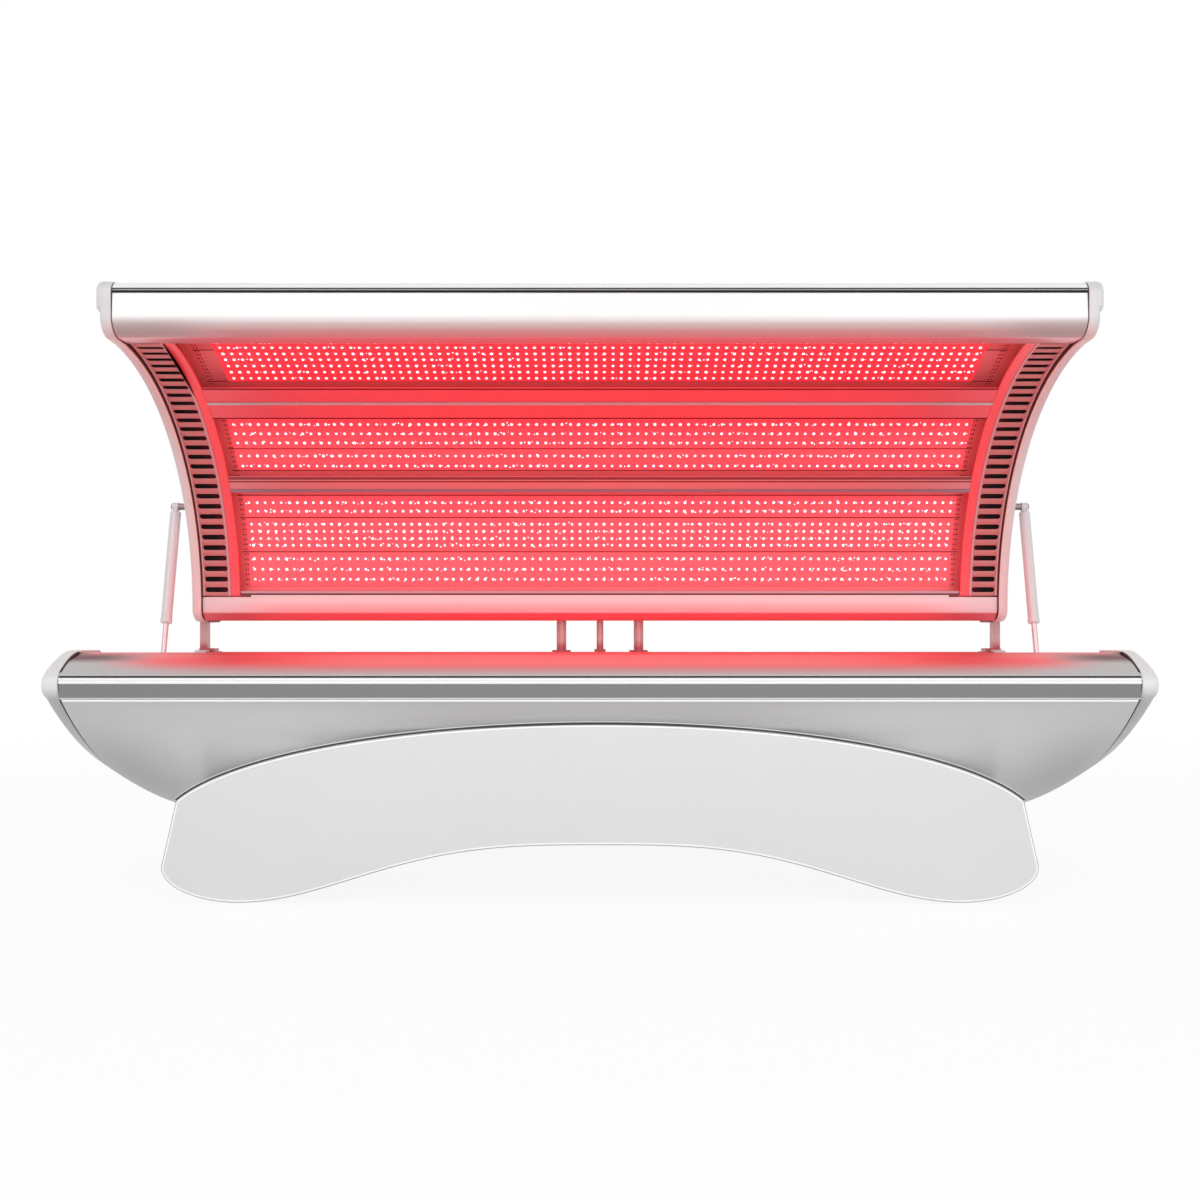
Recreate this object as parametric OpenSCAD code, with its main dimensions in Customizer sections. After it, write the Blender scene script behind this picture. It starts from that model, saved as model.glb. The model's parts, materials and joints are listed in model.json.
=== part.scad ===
// Light therapy bed with a hinged canopy over a curved bench.
// Millimetres, +Z up, +X along the bed, the open side towards -Y, origin on the floor under the middle.

/* [Bed] */
// Length of the bed over its end caps
bed_len = 2200; // [2100:10:2300]
// Length of each end cap along the bed
cap_len = 33.5; // [32:0.5:40]
// Wall of the canopy's end caps
cap_wall = 3; // [2.5:0.25:3.5]
// Wall of the bench's end caps
bench_cap_wall = 5; // [4:0.5:6]
// Thickness of the dark seals beside the end caps
seal_t = 2; // [1:0.5:3]
// Width of the seals, measured in from the outline
seal_w = 18; // [14:1:20]
// How far the seals lie inside the outline of the caps
seal_inset = 2.6; // [2:0.2:3]

/* [Bench] */
// Depth of the bench over its front and rear noses
bench_depth = 1100; // [1090:2:1110]
// Height of the bench's end caps above the floor
bench_h = 508; // [496:2:520]
// How far the aluminium rims lie below the tops of the end caps
rim_step = 5; // [4:0.5:6]
// Radius of a rim's rounded shoulder
rim_r = 180; // [174:2:186]
// How far behind the nose a rim's flat top starts
shoulder_in = 122; // [118:1:126]
// Width of the flat top of a rim
rim_flat = 85; // [82:1:88]
// Height of a rim from its foot to its top
rim_face = 92; // [88:1:96]
// Wall of the rims
rim_wall = 4; // [3:0.5:5]
// How far the bright bead stands out of a rim's face
bead_out = 2.5; // [2:0.25:3]
// Radius of the bright bead
bead_r = 8; // [7:0.5:9]
// Height of the bead's middle below the top of the rim
bead_drop = 56; // [54:1:58]
// Height of the grey band on a rim's face
band_h = 27; // [24:1:30]
// Thickness of the grey band
band_t = 2.2; // [1.5:0.1:3]

/* [Bench shell] */
// Height of the shell's belly above the floor in the middle
belly_h = 128; // [124:1:132]
// How much higher the belly is at the ends of the bed
belly_rise = 95; // [80:5:105]
// Length of the stretch at each end over which the belly rises
belly_run = 198; // [180:2:215]
// Wall of the shell
hull_wall = 5; // [4:0.5:6]
// Gap between the shell and the seal at each end
hull_gap = 3; // [2:0.5:4]
// Radius of the nose of a bench end cap
nose_r = 28; // [26:1:30]
// Radius of the shoulder of a bench end cap
cap_shoulder_r = 151; // [148:1:154]
// Height of the nose of an end cap below its top
nose_drop = 69.6; // [68:0.4:71]

/* [Lying surface] */
// Depth of the hollow in the acrylic sheet
dish_depth = 150; // [140:2:156]
// Thickness of the acrylic sheets
acrylic_t = 5; // [4:0.5:6]
// Width of the ledge that carries the edge of the acrylic sheet
ledge_w = 20; // [16:1:24]
// Space between the acrylic sheet and the lamp boards
lamp_gap = 32; // [28:1:36]
// Distance from the ends of the rims to the bench's lamp boards
bench_board_in = 89.5; // [75:0.5:115]
// How far the last corners of the bench's lamp tray lie inside the seat's edge
lamp_in = 18.4; // [16:0.2:24]
// Thickness of the lamp boards
board_t = 3; // [2:0.5:4]
// Thickness of the sheet metal trays
tray_t = 2; // [1.5:0.25:2.5]

/* [Pedestal] */
// How far a skirt's face lies behind the nose of the bench
skirt_set = 38; // [36:1:40]
// Thickness of the skirts
skirt_t = 18; // [16:1:20]
// Height of the crown of a skirt's top edge above the floor
skirt_crown = 360; // [354:1:362]
// Distance from the end of the bed to the widest place of a skirt
skirt_end = 223; // [216:1:230]
// How far the long curve of the top edge would run past that place
skirt_past = 3; // [1:1:12]
// Height of the long curve of the top edge
skirt_b = 210; // [205:1:215]
// Distance from the widest place to the end of the top edge
skirt_shoulder = 30; // [25:1:37]
// Distance from the widest place to the lowest point
skirt_toe = 156; // [147:1:165]
// Height of the widest place above the skirt's lowest points
toe_h = 71; // [66:1:76]
// Height of the arch under a skirt
arch_h = 115; // [108:1:122]
// Gap between the floor and a skirt
floor_gap = 3; // [2:0.5:5]
// Thickness of the shelf on top of a skirt
shelf_t = 4; // [3:0.5:5]
// Distance from the end of a skirt's top edge to a pedestal end panel
end_panel_in = 19; // [13:1:27]
// Thickness of the pedestal end panels
end_panel_t = 12; // [10:1:14]
// Distance from the end of the bed to a foot
foot_end = 380; // [360:5:400]
// Distance from a skirt's face to a foot
foot_back = 82; // [72:2:92]
// Height of the pedestal's cross beams above the floor
beam_z = 50; // [48:1:54]
// How far the columns that carry the bench stand inside the seat's edge
column_in = 33; // [23:2:43]
// Side of the steel beams
beam_w = 40; // [38:1:42]
// Wall of the steel beams
beam_wall = 3; // [2.5:0.5:4]
// Radius of a foot's pad
foot_r = 30; // [26:1:34]
// Radius of a foot's screw
foot_screw_r = 6; // [5:0.5:7]
// How far a foot can be screwed out
foot_travel = 12; // [10:1:14]

/* [Canopy] */
// Radius of the slotted bands
band_r = 585; // [584:0.5:586]
// Distance from the hinge axis to the slotted bands, level with their centre
band_back = 80; // [78:1:82]
// Height of the centre of the inner curve over the hinge axis
arc_rise = 10; // [7:1:13]
// Radius of the end caps' inner curve
cap_r = 571; // [569:1:573]
// Outer radius of the canopy shell
shell_r = 712; // [710:1:714]
// Distance from the hinge axis to the back of the shell
shell_back = 77; // [75:1:79]
// Wall of the canopy shell
shell_wall = 4; // [3:0.5:5]
// How far the canopy's end caps stand proud of the shell
cap_proud = 3; // [2:0.5:4]
// How far the nose's face stands in front of the centre of the inner curve
nose_out = 20; // [16:1:24]
// Distance from that centre to the rear of the nose
nose_reach = 65; // [63:1:67]
// How far the nose hangs below the slotted bands' highest point
nose_hang = 13; // [12:0.5:14]
// Height of the canopy's nose
nose_h = 119; // [117:0.5:121]
// Wall of the nose, the bottom rail and the backbone
rail_wall = 3; // [2.5:0.25:4]
// Distance from the hinge axis to the front face of the bottom rail
rail_set = 86; // [84:1:88]
// Height of the top of the bottom rail over the hinge axis
rail_rise = 35; // [31:1:39]

/* [Canopy lamps] */
// Thickness of the slotted bands
band_plate_t = 3; // [2.5:0.25:3.5]
// Width of the slotted bands from the seal inwards
vent_w = 74.5; // [72:0.5:76]
// Width of the edge strips
strip_w = 24; // [22:0.5:26]
// Thickness of the edge strips
strip_t = 4.8; // [4:0.2:5.6]
// Number of slots in a band
slot_n = 29; // [20:1:30]
// Angle from one slot to the next
slot_step = 2.77; // [2.7:0.01:2.8]
// Angle of the first slot
slot_first = 4.4; // [4:0.1:4.8]
// Length of a slot
slot_len = 61; // [54:1:63]
// Height of a slot
slot_h = 13; // [10:0.5:14]
// Distance from the slotted bands to the corners of the lamp trays
lamp_depth = 43; // [41:0.5:45]
// Distance from the slotted bands to the ends of the two lower lamp sections
lamp_end = 40; // [30:2:50]
// Distance from the slotted bands to the ends of the upper lamp section
lamp_end_top = 78; // [66:2:90]

/* [Hinge] */
// Distance from the rear nose of the bench to the hinge axis
hinge_in = 155; // [154:0.5:156]
// Height of the hinge axis over the bench's end caps
hinge_rise = 107; // [106:0.5:108]
// Radius of the hinge pins and of the middle shaft
pin_r = 8; // [7:0.5:9]
// Running clearance round a pin
pin_gap = 0.05; // [0.03:0.01:0.1]
// Width of a hinge post along the bed
post_w = 20; // [18:0.5:24]
// Depth of a hinge post
post_d = 26; // [24:1:32]
// Thickness of the feet of the posts
flange_t = 5; // [4:0.5:6]
// Distance of each middle post from the middle of the bed
mid_post_x = 106; // [100:1:112]
// Radius of the middle posts
mid_post_r = 13.5; // [12:0.5:15]
// Radius of the bearing heads on the middle posts
bearing_r = 21; // [19:0.5:23]
// Radius of the cable pipe
pipe_r = 9.5; // [8:0.5:11]
// Distance from the hinge axis to the front face of the backbone's channel
channel_front = 62; // [60:1:64]
// Distance from the hinge axis to the rear face of the backbone's channel
channel_back = 42; // [40:1:44]
// Height of the backbone's channel over the hinge axis
channel_h = 53; // [51:1:55]

/* [Gas struts] */
// Distance from an end cap's face to the middle of a strut
strut_out = 36; // [34:1:38]
// How far the upper strut pin lies in front of the hinge axis
strut_top_in = 85; // [81:1:89]
// Height of the upper strut pin over the hinge axis
strut_top_rise = 277; // [273:1:281]
// How far the lower strut pin lies in front of the hinge axis
strut_low_in = 220; // [216:1:224]
// How far the lower strut pin lies below the top of the end caps
strut_low_drop = 180; // [176:1:184]
// Radius of a strut's tube
tube_r = 14; // [13:0.5:15]
// Length of a strut's tube
tube_len = 304; // [296:1:312]
// Radius of a strut's rod
rod_r = 7; // [6:0.5:8]
// Radius of a strut's pins
stud_r = 5; // [4:0.5:6]

/* [Fans and power] */
// Side of a fan's frame
fan_w = 120; // [110:1:124]
// Depth of a fan's frame
fan_d = 25; // [22:1:28]
// Radius of a fan's opening
fan_r = 56; // [50:1:58]
// Distance of the canopy's fans from the ends of the bed
canopy_fan_end = 300; // [280:5:320]
// Angle of the canopy's fans round the outer curve
canopy_fan_angle = 28; // [24:1:32]
// Distance of the bench's fans from the feet, along the bed
bench_fan_in = 180; // [160:5:200]
// Distance of the mains plate from the feet, along the bed
inlet_in = 120; // [80:5:160]
// Height of the mains plate
inlet_z = 150; // [140:2:160]

/* [Hidden] */

// Small overlap that lets a cut run clear of a face
cut = 1;
// Gap left between pieces that lie against each other without being joined
ease = 0.3;
// Gap left between sloping flat pieces that lie on each other
flat_ease = 0.05;

// Bed
half = bed_len / 2;
cap_x = half - cap_len;
run_x = cap_x - seal_t;

// Bench section
nose_y = bench_depth / 2;
face_y = nose_y - bead_out;
shoulder_y = nose_y - shoulder_in;
seat_y = shoulder_y - rim_flat;
rim_top = bench_h - rim_step;
rim_foot = rim_top - rim_face;

// Bench shell: circular sections, each through the two lips and its own lowest point
lip_in = 7;
lip_y = nose_y - lip_in;
hull_x = run_x - hull_gap;
function belly_z(x) = belly_h + belly_rise * pow(max(0, (abs(x) - half + belly_run) / belly_run), 2);
function arc_r(half_w, rise) = (half_w * half_w + rise * rise) / (2 * rise);
belly_r = arc_r(lip_y, rim_foot - belly_h);
belly_cz = belly_h + belly_r;
hull_seg = 28;
hull_steps = 6;
// How far the flats of the shell's inner face stand inside its true curve
hull_sag = (belly_r - hull_wall) * (1 - cos(acos((belly_cz - rim_foot) / (belly_r - hull_wall)) / hull_seg));

// Lying surface
dish_half = seat_y - 1;
dish_r = arc_r(dish_half, dish_depth);
dish_cz = rim_top - dish_depth + dish_r;
ledge_h = 34;

// Bench lamp tray: flat facets round the centre of the lying surface
facet_n = 5;
facet_in_r = dish_r + acrylic_t + lamp_gap + board_t;
facet_deg = 2 * asin((seat_y - lamp_in) / facet_in_r) / facet_n;
bench_tray_r = facet_in_r / cos(facet_deg / 2);
tray_leg = 16;
bench_board_half = run_x - bench_board_in;
bench_tray_half = bench_board_half + 20;

// Pedestal
skirt_y = nose_y - skirt_set;
skirt_in = skirt_y - skirt_t;
skirt_side_x = half - skirt_end;
skirt_a = skirt_side_x + skirt_past;
skirt_top_x = skirt_side_x - skirt_shoulder;
skirt_toe_x = skirt_side_x - skirt_toe;
end_panel_x = skirt_top_x - end_panel_in;
foot_x = half - foot_end;
foot_y = skirt_y - foot_back;
column_y = seat_y - column_in;
beam_top = beam_z + beam_w;
bench_fan_x = foot_x - bench_fan_in;
inlet_x = foot_x - inlet_in;

// Hinge
hinge_y = nose_y - hinge_in;
hinge_z = bench_h + hinge_rise;
back_y0 = hinge_y - channel_front;
back_y1 = hinge_y + channel_back;
back_top = hinge_z + channel_h;

// Canopy: the shell runs from its back, behind the hinge, to the rear corner of the nose
strip_x = run_x - vent_w;
tray_half = strip_x;
tray_r = band_r + lamp_depth;
arc_y = hinge_y - band_back - band_r;
arc_z = hinge_z + arc_rise;
nose_front = arc_y - nose_out;
nose_back = arc_y + nose_reach;
nose_low = arc_z + band_r - nose_hang;
nose_top_r = 28;
nose_low_r = 40;
nose_dip = 1.1;
nose_top_in = nose_low + nose_h + nose_dip;
shell_in = shell_r - shell_wall;
shell_y = hinge_y + shell_back - shell_r;
shell_z = nose_top_in - sqrt(pow(shell_r, 2) - pow(nose_back - shell_y, 2));
arc_c = [arc_y, arc_z];
shell_c = [shell_y, shell_z];
low_z = hinge_z - 28;
rail_front = hinge_y - rail_set;
rail_top = hinge_z + rail_rise;
canopy_fan_x = half - canopy_fan_end;
// Angles of the lamp facets, and the two that carry a cross rail in place of a board
facet_angles = [5, 13.7, 22.3, 28, 34.5, 40.3, 49, 60, 71, 82];
rail_facets = [3, 6];
top_facet = 7;
// Start, end, and start and end of the bead, of each cross rail, as angles
cross_rails = [[30.4, 34.8, 31.1, 32.8], [52, 62.3, 56.5, 57.7]];
rail_plate_t = 3;
sheet_ease = 0.2;
rib_t = 8;
rib_pitch = 400;
rib_places = [for (x = [rib_pitch / 2:rib_pitch:tray_half - rib_pitch / 2]) x];

// Struts
strut_x = half + strut_out;
strut_top_y = hinge_y - strut_top_in;
strut_top_z = hinge_z + strut_top_rise;
strut_low_y = hinge_y - strut_low_in;
strut_low_z = bench_h - strut_low_drop;
strut_dy = strut_low_y - strut_top_y;
strut_dz = strut_low_z - strut_top_z;
strut_len = norm([strut_dy, strut_dz]);
strut_tilt = atan2(strut_dy, -strut_dz);
eye_w = 16;
eye_r = 11;
stud_collar_r = 9;
strut_gap = 0.5;
tube_start = 18;
tube_wall = 3;
tube_cap = 8;
collar_out = 0.9;
collar_h = 12;
piston_len = 12;
piston_stop = 222;

// Shared helpers
function arc(c, r, a0, a1, n) =
    [for (i = [0:n]) let (a = a0 + (a1 - a0) * i / n) c + r * [cos(a), sin(a)]];

// Draws a section, given in Y and Z, from x0 to x1 along the bed
module along_x(x0, x1) {
    translate([x0, 0, 0]) rotate([90, 0, 90]) linear_extrude(height = x1 - x0) children();
}

// A round bar or hole along the bed
module rod_x(x0, x1, y, z, r, sides = 64) {
    translate([x0, y, z]) rotate([0, 90, 0]) cylinder(h = x1 - x0, r = r, $fn = sides);
}

module box(x0, x1, y0, y1, z0, z1) {
    translate([x0, y0, z0]) cube([x1 - x0, y1 - y0, z1 - z0]);
}

// A square steel tube between two corners, hollow along the axis given as 0, 1 or 2
module steel_tube(a, b, axis) {
    w = beam_wall;
    inner_a = [for (i = [0:2]) a[i] + (i == axis ? -cut : w)];
    inner_b = [for (i = [0:2]) b[i] - (i == axis ? -cut : w)];
    difference() {
        translate(a) cube(b - a);
        translate(inner_a) cube(inner_b - inner_a);
    }
}

module left() { mirror([1, 0, 0]) children(); }
module both_ends() { children(); left() children(); }
module front() { mirror([0, 1, 0]) children(); }
module both_sides() { children(); front() children(); }

// A closed skin through rings of points. Each ring has m points along one edge and m back along the other.
module loft(rings, m) {
    n = len(rings);
    k = 2 * m;
    points = [for (r = rings) each r];
    sides = [for (i = [0:n - 2]) for (j = [0:k - 1])
        let (a = i * k + j, b = i * k + (j + 1) % k, c = a + k, d = b + k)
        each [[a, b, d], [a, d, c]]];
    function end_face(s, turned) = [for (j = [0:m - 2])
        let (a = s + j, b = s + j + 1, c = s + k - 2 - j, d = s + k - 1 - j)
        each turned ? [[a, c, b], [a, d, c]] : [[a, b, c], [a, c, d]]];
    polyhedron(points, concat(sides, end_face(0, true), end_face((n - 1) * k, false)));
}

// The space that the shell of the bench fills where its section is constant, plus a margin
module belly_space(extra) { rod_x(-half, half, 0, belly_cz, belly_r + extra, 360); }

// Pedestal

skirt_base = floor_gap;
arch_power = 1.54;
function arch_z(x) = skirt_base + arch_h * pow(cos(90 * pow(abs(x) / skirt_toe_x, arch_power)), 2);
function skirt_top(x, inset) = skirt_crown - skirt_b
    + (skirt_b - inset) * sqrt(1 - pow(x / (skirt_a - inset), 2));

module skirt_face() {
    top_n = 40;
    arch_n = 28;
    corner = arc([0, 0], 1, 180, 270, 10);
    left_toe = [for (p = corner) [-skirt_toe_x + p[0] * (skirt_side_x - skirt_toe_x),
        skirt_base + toe_h + p[1] * toe_h]];
    arch = [for (i = [1:arch_n - 1]) let (x = -skirt_toe_x + 2 * skirt_toe_x * i / arch_n) [x, arch_z(x)]];
    right_toe = [for (i = [len(left_toe) - 1:-1:0]) [-left_toe[i][0], left_toe[i][1]]];
    top = [for (i = [0:top_n]) let (x = skirt_top_x * cos(180 * i / top_n)) [x, skirt_top(x, 0)]];
    polygon(concat(left_toe, arch, right_toe, top));
}

module skirt_shelf() {
    n = 40;
    xs = [for (i = [0:n]) skirt_top_x * cos(180 * i / n)];
    over = [for (x = xs) [x, skirt_top(x, 0)]];
    under = [for (i = [n:-1:0]) [xs[i], skirt_top(xs[i], 0) - shelf_t]];
    polygon(concat(over, under));
}

module skirt() {
    shelf_w = 234;
    difference() {
        union() {
            translate([0, skirt_y, 0]) rotate([90, 0, 0]) linear_extrude(height = skirt_t) skirt_face();
            translate([0, skirt_in, 0]) rotate([90, 0, 0]) linear_extrude(height = shelf_w) skirt_shelf();
        }
        belly_space(ease);
    }
}

module front_skirt() { color("gainsboro") front() skirt(); }

plate_w = 110;
plate_h = 80;
plate_t = 2.5;
plate_edge = 9;

module rear_skirt() {
    color("gainsboro") difference() {
        skirt();
        box(inlet_x - plate_w / 2 + plate_edge, inlet_x + plate_w / 2 - plate_edge, skirt_in - cut,
            skirt_y + cut, inlet_z - plate_h / 2 + plate_edge, inlet_z + plate_h / 2 - plate_edge);
    }
}

module pedestal_end() {
    panel_top = skirt_top(end_panel_x + end_panel_t, 0) - shelf_t - ease;
    color("lightgray") difference() {
        box(end_panel_x, end_panel_x + end_panel_t, -skirt_in, skirt_in, skirt_base + toe_h / 2, panel_top);
        belly_space(ease);
    }
}

module pedestal_end_right() { pedestal_end(); }
module pedestal_end_left() { left() pedestal_end(); }

module pedestal_frame() {
    w = beam_w / 2;
    long_x = foot_x + w;
    color("dimgray") union() {
        both_ends() difference() {
            steel_tube([foot_x - w, -skirt_in, beam_z], [foot_x + w, skirt_in, beam_top], 1);
            both_sides() translate([foot_x, foot_y, beam_z - cut])
                cylinder(h = beam_wall + 2 * cut, r = foot_screw_r + pin_gap, $fn = 48);
        }
        both_sides()
            steel_tube([-long_x, column_y - beam_w, beam_top], [long_x, column_y, beam_top + beam_w], 0);
        both_ends() both_sides() difference() {
            steel_tube([foot_x - w, column_y, beam_top], [foot_x + w, column_y + beam_w, rim_foot], 2);
            belly_space(ease);
        }
    }
}

module levelling_foot(sx, sy) {
    pad_h = 10;
    nut_h = 8;
    nut_r = 10.8;
    room = 9;
    color("black") translate([sx * foot_x, sy * foot_y, 0]) {
        cylinder(h = pad_h, r = foot_r, $fn = 72);
        translate([0, 0, pad_h]) cylinder(h = nut_h, r = nut_r, $fn = 6);
        translate([0, 0, pad_h]) cylinder(h = beam_top - beam_wall - room - pad_h, r = foot_screw_r, $fn = 48);
    }
}

module levelling_foot_front_left() { levelling_foot(-1, -1); }
module levelling_foot_front_right() { levelling_foot(1, -1); }
module levelling_foot_rear_left() { levelling_foot(-1, 1); }
module levelling_foot_rear_right() { levelling_foot(1, 1); }

// Bench shell

function hull_ring(x) =
    let (z0 = belly_z(x), r = arc_r(lip_y, rim_foot - z0), c = z0 + r,
        a_out = asin(lip_y / r), a_in = acos((c - rim_foot) / (r - hull_wall)))
    concat([for (i = [0:hull_seg]) let (a = -a_out + 2 * a_out * i / hull_seg) [x, r * sin(a), c - r * cos(a)]],
        [for (i = [0:hull_seg]) let (a = a_in - 2 * a_in * i / hull_seg)
            [x, (r - hull_wall) * sin(a), c - (r - hull_wall) * cos(a)]]);

module bench_hull() {
    start = half - belly_run;
    xs = [for (i = [0:hull_steps]) start + (hull_x - start) * i / hull_steps];
    stations = concat([for (i = [hull_steps:-1:0]) -xs[i]], xs);
    color("silver") difference() {
        loft([for (x = stations) hull_ring(x)], hull_seg + 1);
        both_ends() translate([bench_fan_x, 0, belly_h - 2 * cut])
            cylinder(h = 5 * hull_wall, r = fan_r, $fn = 48);
    }
}

// Bench frame: bearers under the rims, and cross frames between them under the lamp tray

cross_z = belly_h + 140;
cross_h = 30;
upright_y = column_y + beam_w;
bearer_y = upright_y + 2 * beam_w;
bearer_h = 60;
frame_x = 240;
shelf_half = 130;

module bench_frame() {
    w = beam_w / 2;
    bearer_z = rim_foot - bearer_h;
    end_x = run_x - 60;
    color("dimgray") union() {
        both_sides() steel_tube([-end_x, bearer_y, bearer_z], [end_x, bearer_y + beam_w, rim_foot], 0);
        for (x = [frame_x, foot_x]) both_ends() {
            steel_tube([x - w, -upright_y, cross_z], [x + w, upright_y, cross_z + cross_h], 1);
            both_sides() steel_tube([x - w, upright_y, cross_z], [x + w, upright_y + beam_w, rim_foot], 2);
            both_sides()
                steel_tube([x - w, upright_y + beam_w, rim_foot - cross_h], [x + w, bearer_y, rim_foot], 1);
        }
        both_ends() both_sides() intersection() {
            box(foot_x - w, foot_x + w, column_y, upright_y, belly_h, cross_z);
            belly_space(-hull_wall - hull_sag - ease);
        }
        box(-frame_x - w, frame_x + w, -shelf_half, shelf_half, cross_z - tray_t, cross_z);
    }
}

// Rims

function rim_outline(w) = concat(
    [[seat_y + w, rim_foot + w], [face_y - w, rim_foot + w]],
    arc([shoulder_y, rim_top - rim_r], rim_r - w, acos((face_y - w - shoulder_y) / (rim_r - w)), 90, 18),
    [[seat_y + w, rim_top - w]]);

band_z0 = rim_foot + 3;
bead_z = rim_top - bead_drop;
groove = 2;

module rim() {
    groove_z = bead_z + bead_r + groove;
    along_x(-run_x, run_x) difference() {
        union() {
            difference() {
                polygon(rim_outline(0));
                polygon(rim_outline(rim_wall));
            }
            // Ledge for the acrylic sheet
            difference() {
                translate([seat_y - ledge_w, rim_top - ledge_h]) square([ledge_w + 1, ledge_h - rim_wall]);
                translate([0, dish_cz]) circle(r = dish_r + acrylic_t, $fn = 256);
            }
            // Wall behind the recess for the grey band
            translate([face_y - band_t - rim_wall, rim_foot + rim_wall / 2]) square([rim_wall, band_h + 3]);
        }
        translate([face_y - band_t, band_z0]) square([band_t + cut, band_h]);
        translate([face_y - groove, groove_z]) square([groove + cut, groove]);
    }
}

module front_rim() { color("silver") front() rim(); }
module rear_rim() { color("silver") rim(); }

module trim_bands() {
    color("gray") both_sides() box(-run_x, run_x, face_y - band_t, face_y, band_z0, band_z0 + band_h);
}

module trim_beads() {
    color("white") both_sides() along_x(-run_x, run_x) intersection() {
        translate([nose_y - bead_r, bead_z]) circle(r = bead_r, $fn = 96);
        translate([face_y, bead_z - bead_r]) square([bead_r, 2 * bead_r]);
    }
}

// Bench end caps: top and bottom edges of a section at distance t from the middle of the bench

nose_cy = nose_y - nose_r;
nose_cz = bench_h - nose_drop;
cap_lip = nose_y - 20;
cap_lip_z = nose_cz - sqrt(nose_r * nose_r - pow(cap_lip - nose_cy, 2)) + 0.5;
cap_edge = 3;
shoulder_more = cap_shoulder_r - nose_r;
big_cy = nose_y - nose_r - shoulder_more * sqrt(1 - pow(1 - (nose_drop - nose_r) / shoulder_more, 2));
join_y = big_cy + cap_shoulder_r * (nose_cy - big_cy) / shoulder_more;

function cap_top(t) =
    t < seat_y ? dish_cz + cap_edge - sqrt(dish_r * dish_r - min(t, dish_half) * min(t, dish_half))
        + (bench_h - rim_top - cap_edge) * pow(t / seat_y, 8)
    : t < big_cy ? bench_h
    : t < join_y ? bench_h - cap_shoulder_r + sqrt(pow(cap_shoulder_r, 2) - pow(t - big_cy, 2))
    : nose_cz + sqrt(max(0, nose_r * nose_r - pow(t - nose_cy, 2)));

function cap_low(t, z0) =
    t > cap_lip ? nose_cz - sqrt(max(0, nose_r * nose_r - pow(t - nose_cy, 2)))
    : let (r = arc_r(cap_lip, cap_lip_z - z0)) z0 + r - sqrt(r * r - t * t);

cap_ts = concat([for (a = [84:-16:4]) nose_cy + nose_r * sin(a)], [nose_cy - 18, nose_cy - 42, nose_cy - 66],
    [big_cy, seat_y], [for (i = [6:-1:1]) seat_y * i / 7]);
cap_stations = concat([for (t = cap_ts) -t], [0], [for (i = [len(cap_ts) - 1:-1:0]) cap_ts[i]]);

// A ring of the cap at x: its low edge starts at z0 in the middle, and draw shrinks it for a rounded edge
function cap_ring(x, z0, draw) =
    let (shrink = 1 - draw / nose_y)
    concat([for (y = cap_stations) [x, y * shrink, cap_top(abs(y)) - draw]],
        [for (i = [len(cap_stations) - 1:-1:0]) let (y = cap_stations[i])
            [x, y * shrink, cap_low(abs(y), z0) + (abs(y) > nose_cy ? 0 : draw)]]);

cap_round = [[0, 0], [0.35, 0], [0.65, 0], [0.82, 0.7], [0.94, 2.4], [1, 5]];
cap_low_in = belly_z(cap_x) - cap_edge;
cap_low_out = cap_low_in + 27.4;

module bench_cap() {
    m = len(cap_stations);
    in_ts = [for (y = cap_stations) if (abs(y) < nose_cy + nose_r / 2) y];
    function inner_ring(x, z0) = concat(
        [for (y = in_ts) [x, y, cap_top(abs(y)) - bench_cap_wall]],
        [for (i = [len(in_ts) - 1:-1:0]) [x, in_ts[i], cap_low(abs(in_ts[i]), z0) + bench_cap_wall]]);
    low_end = cap_low_in + (cap_low_out - cap_low_in) * (cap_len - bench_cap_wall) / cap_len;
    color("whitesmoke") difference() {
        loft([for (p = cap_round) cap_ring(cap_x + cap_len * p[0],
            cap_low_in + (cap_low_out - cap_low_in) * p[0], p[1])], m);
        loft([inner_ring(cap_x - cut, cap_low_in), inner_ring(half - bench_cap_wall, low_end)], len(in_ts));
    }
}

module bench_cap_right() { bench_cap(); }
module bench_cap_left() { left() bench_cap(); }

module bench_seal_outline() {
    polygon(concat([for (y = cap_stations) [y, cap_top(abs(y))]],
        [for (i = [len(cap_stations) - 1:-1:0]) let (y = cap_stations[i]) [y, cap_low(abs(y), cap_low_in)]]));
}

module bench_end_seals() {
    color("black") both_ends() along_x(run_x, cap_x) intersection() {
        difference() {
            offset(delta = -seal_inset) bench_seal_outline();
            offset(delta = -seal_inset - seal_w) bench_seal_outline();
        }
        translate([-nose_y, 0]) square([2 * nose_y, rim_top]);
    }
}

// Lying surface and its lamps

module bench_acrylic() {
    color([0.85, 0.95, 1, 0.35]) along_x(-run_x, run_x) intersection() {
        difference() {
            translate([0, dish_cz]) circle(r = dish_r + acrylic_t - sheet_ease, $fn = 256);
            translate([0, dish_cz]) circle(r = dish_r, $fn = 256);
        }
        translate([-dish_half, belly_h]) square([2 * dish_half, rim_top - belly_h]);
    }
}

function bench_vertex(i, r) = let (a = -90 + facet_deg * (i - facet_n / 2)) [r * cos(a), dish_cz + r * sin(a)];

module bench_led_tray() {
    last = bench_vertex(facet_n, bench_tray_r);
    upper = concat([[-seat_y + tray_t, last[1] + tray_leg], [-seat_y + tray_t, last[1]]],
        [for (i = [0:facet_n]) bench_vertex(i, bench_tray_r)],
        [[seat_y - tray_t, last[1]], [seat_y - tray_t, last[1] + tray_leg]]);
    lower = concat([[seat_y, last[1] + tray_leg], [seat_y, last[1] - tray_t]],
        [for (i = [facet_n:-1:0]) bench_vertex(i, bench_tray_r + tray_t)],
        [[-seat_y, last[1] - tray_t], [-seat_y, last[1] + tray_leg]]);
    color("silver") along_x(-bench_tray_half, bench_tray_half) polygon(concat(upper, lower));
}

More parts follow.
